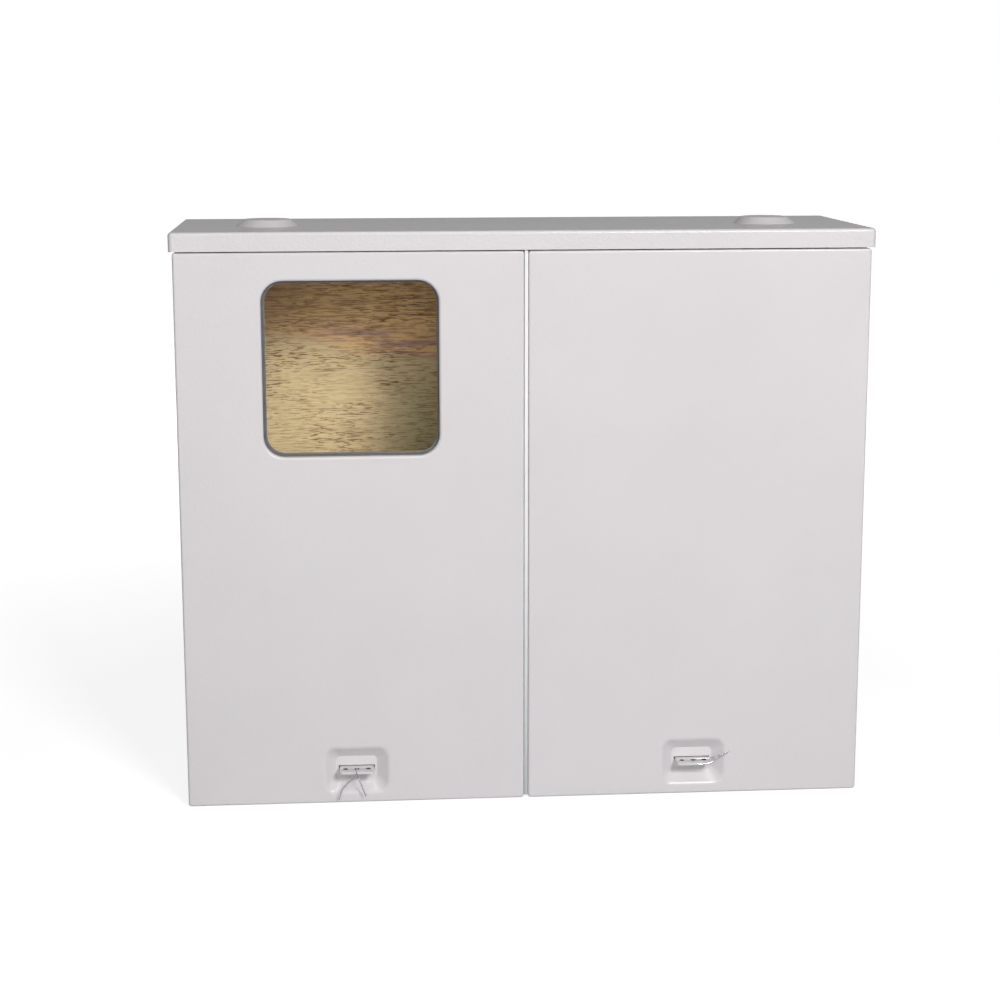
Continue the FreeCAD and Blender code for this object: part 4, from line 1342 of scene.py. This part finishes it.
class METERBOX_OT_stage(bpy.types.Operator):
    """Set the camera, lamps, reflection cards, floor and surrounding light"""

    bl_idname = "meterbox.stage"
    bl_label = "Stage"

    def execute(self, context):
        stage = context.scene.meter_box.stage
        self.camera(context, stage)
        self.floor(stage)
        self.world(context, stage)
        for name in ("key", "fill", "back"):
            soft_lamp(name, stage).visible_glossy = name != "back"
        reflection_card("dark_card", stage, 0.0, 0.0)
        reflection_card("bright_card", stage, stage.bright_card_lean, stage.bright_card_glow)
        context.scene.view_settings.view_transform = "Standard"
        return {"FINISHED"}

    def camera(self, context, stage):
        """Camera at the photograph's viewing angle."""
        data = bpy.data.cameras.new("camera")
        data.lens = stage.lens
        data.sensor_width = stage.sensor
        camera = new_object("camera", data)
        camera.location = stage.camera_place
        camera.rotation_euler = (math.radians(90) - stage.camera_down, stage.camera_roll, -stage.camera_right)
        context.scene.camera = camera

    def floor(self, stage):
        """Wide floor, white to the camera apart from the object's shadow."""
        finish = Finish("floor", stage.floor_colour, 0.9, specular=0.0)
        away = finish.out("Value", "ShaderNodeVectorMath", {0: finish.where}, operation="LENGTH")
        strength = finish.ramp(away, stage.floor_near, stage.floor_far, stage.floor_glow, 1.0)
        glow = finish.out("Emission", "ShaderNodeEmission", {"Strength": strength})
        catch = finish.out("BSDF", "ShaderNodeBsdfDiffuse", {"Color": (stage.floor_catch,) * 3})
        both = finish.out("Shader", "ShaderNodeAddShader", {0: glow, 1: catch})
        finish.blend(finish.seen(), finish.shader.outputs["BSDF"], both)
        reach = stage.floor_reach
        middle = (0, 0, cad_low.z - stage.floor_gap)
        flat_piece("floor", middle, Vector((reach, 0, 0)), Vector((0, reach, 0)), finish)

    def world(self, context, stage):
        """White surroundings to the eye, and softer ones in reflections and as light."""
        world = bpy.data.worlds.new("surroundings")
        world.use_nodes = True
        context.scene.world = world
        nodes = Nodes(world.node_tree)
        glossy = nodes.out("Is Glossy Ray", "ShaderNodeLightPath")
        unseen = nodes.ramp(glossy, 0.0, 1.0, stage.world_light, stage.world_shine)
        background = world.node_tree.nodes["Background"]
        nodes.feed(background.inputs["Color"], (1, 1, 1))
        nodes.feed(background.inputs["Strength"], nodes.ramp(nodes.seen(), 0.0, 1.0, unseen, 1.0))


# Panel and registration


class METERBOX_PT_panel(bpy.types.Panel):
    """The meter box's steps in the sidebar"""

    bl_idname = "METERBOX_PT_panel"
    bl_label = "Meter Box"
    bl_space_type = "VIEW_3D"
    bl_region_type = "UI"
    bl_category = "Meter Box"

    def draw(self, context):
        for step in STEPS:
            self.layout.operator(step.bl_idname)


GROUPS = (SheetSettings, HoodSettings, CoverSettings, WindowSettings, MullionSettings, LatchSettings,
          FastenerSettings, FinishSettings, StageSettings, MeterBoxSettings)
STEPS = (METERBOX_OT_finishes, METERBOX_OT_hood, METERBOX_OT_covers, METERBOX_OT_window, METERBOX_OT_mullion,
         METERBOX_OT_tongues, METERBOX_OT_seal_wires, METERBOX_OT_fasteners, METERBOX_OT_stage)
CLASSES = GROUPS + STEPS + (METERBOX_PT_panel,)


def register():
    """Adds the classes and the scene's settings."""
    for item in CLASSES:
        bpy.utils.register_class(item)
    bpy.types.Scene.meter_box = PointerProperty(type=MeterBoxSettings)


def unregister():
    """Takes the settings and classes out again."""
    del bpy.types.Scene.meter_box
    for item in reversed(CLASSES):
        bpy.utils.unregister_class(item)


def main():
    """Builds everything in order."""
    register()
    for step in STEPS:
        group, name = step.bl_idname.split(".")
        getattr(getattr(bpy.ops, group), name)()


if __name__ == "__main__":
    main()
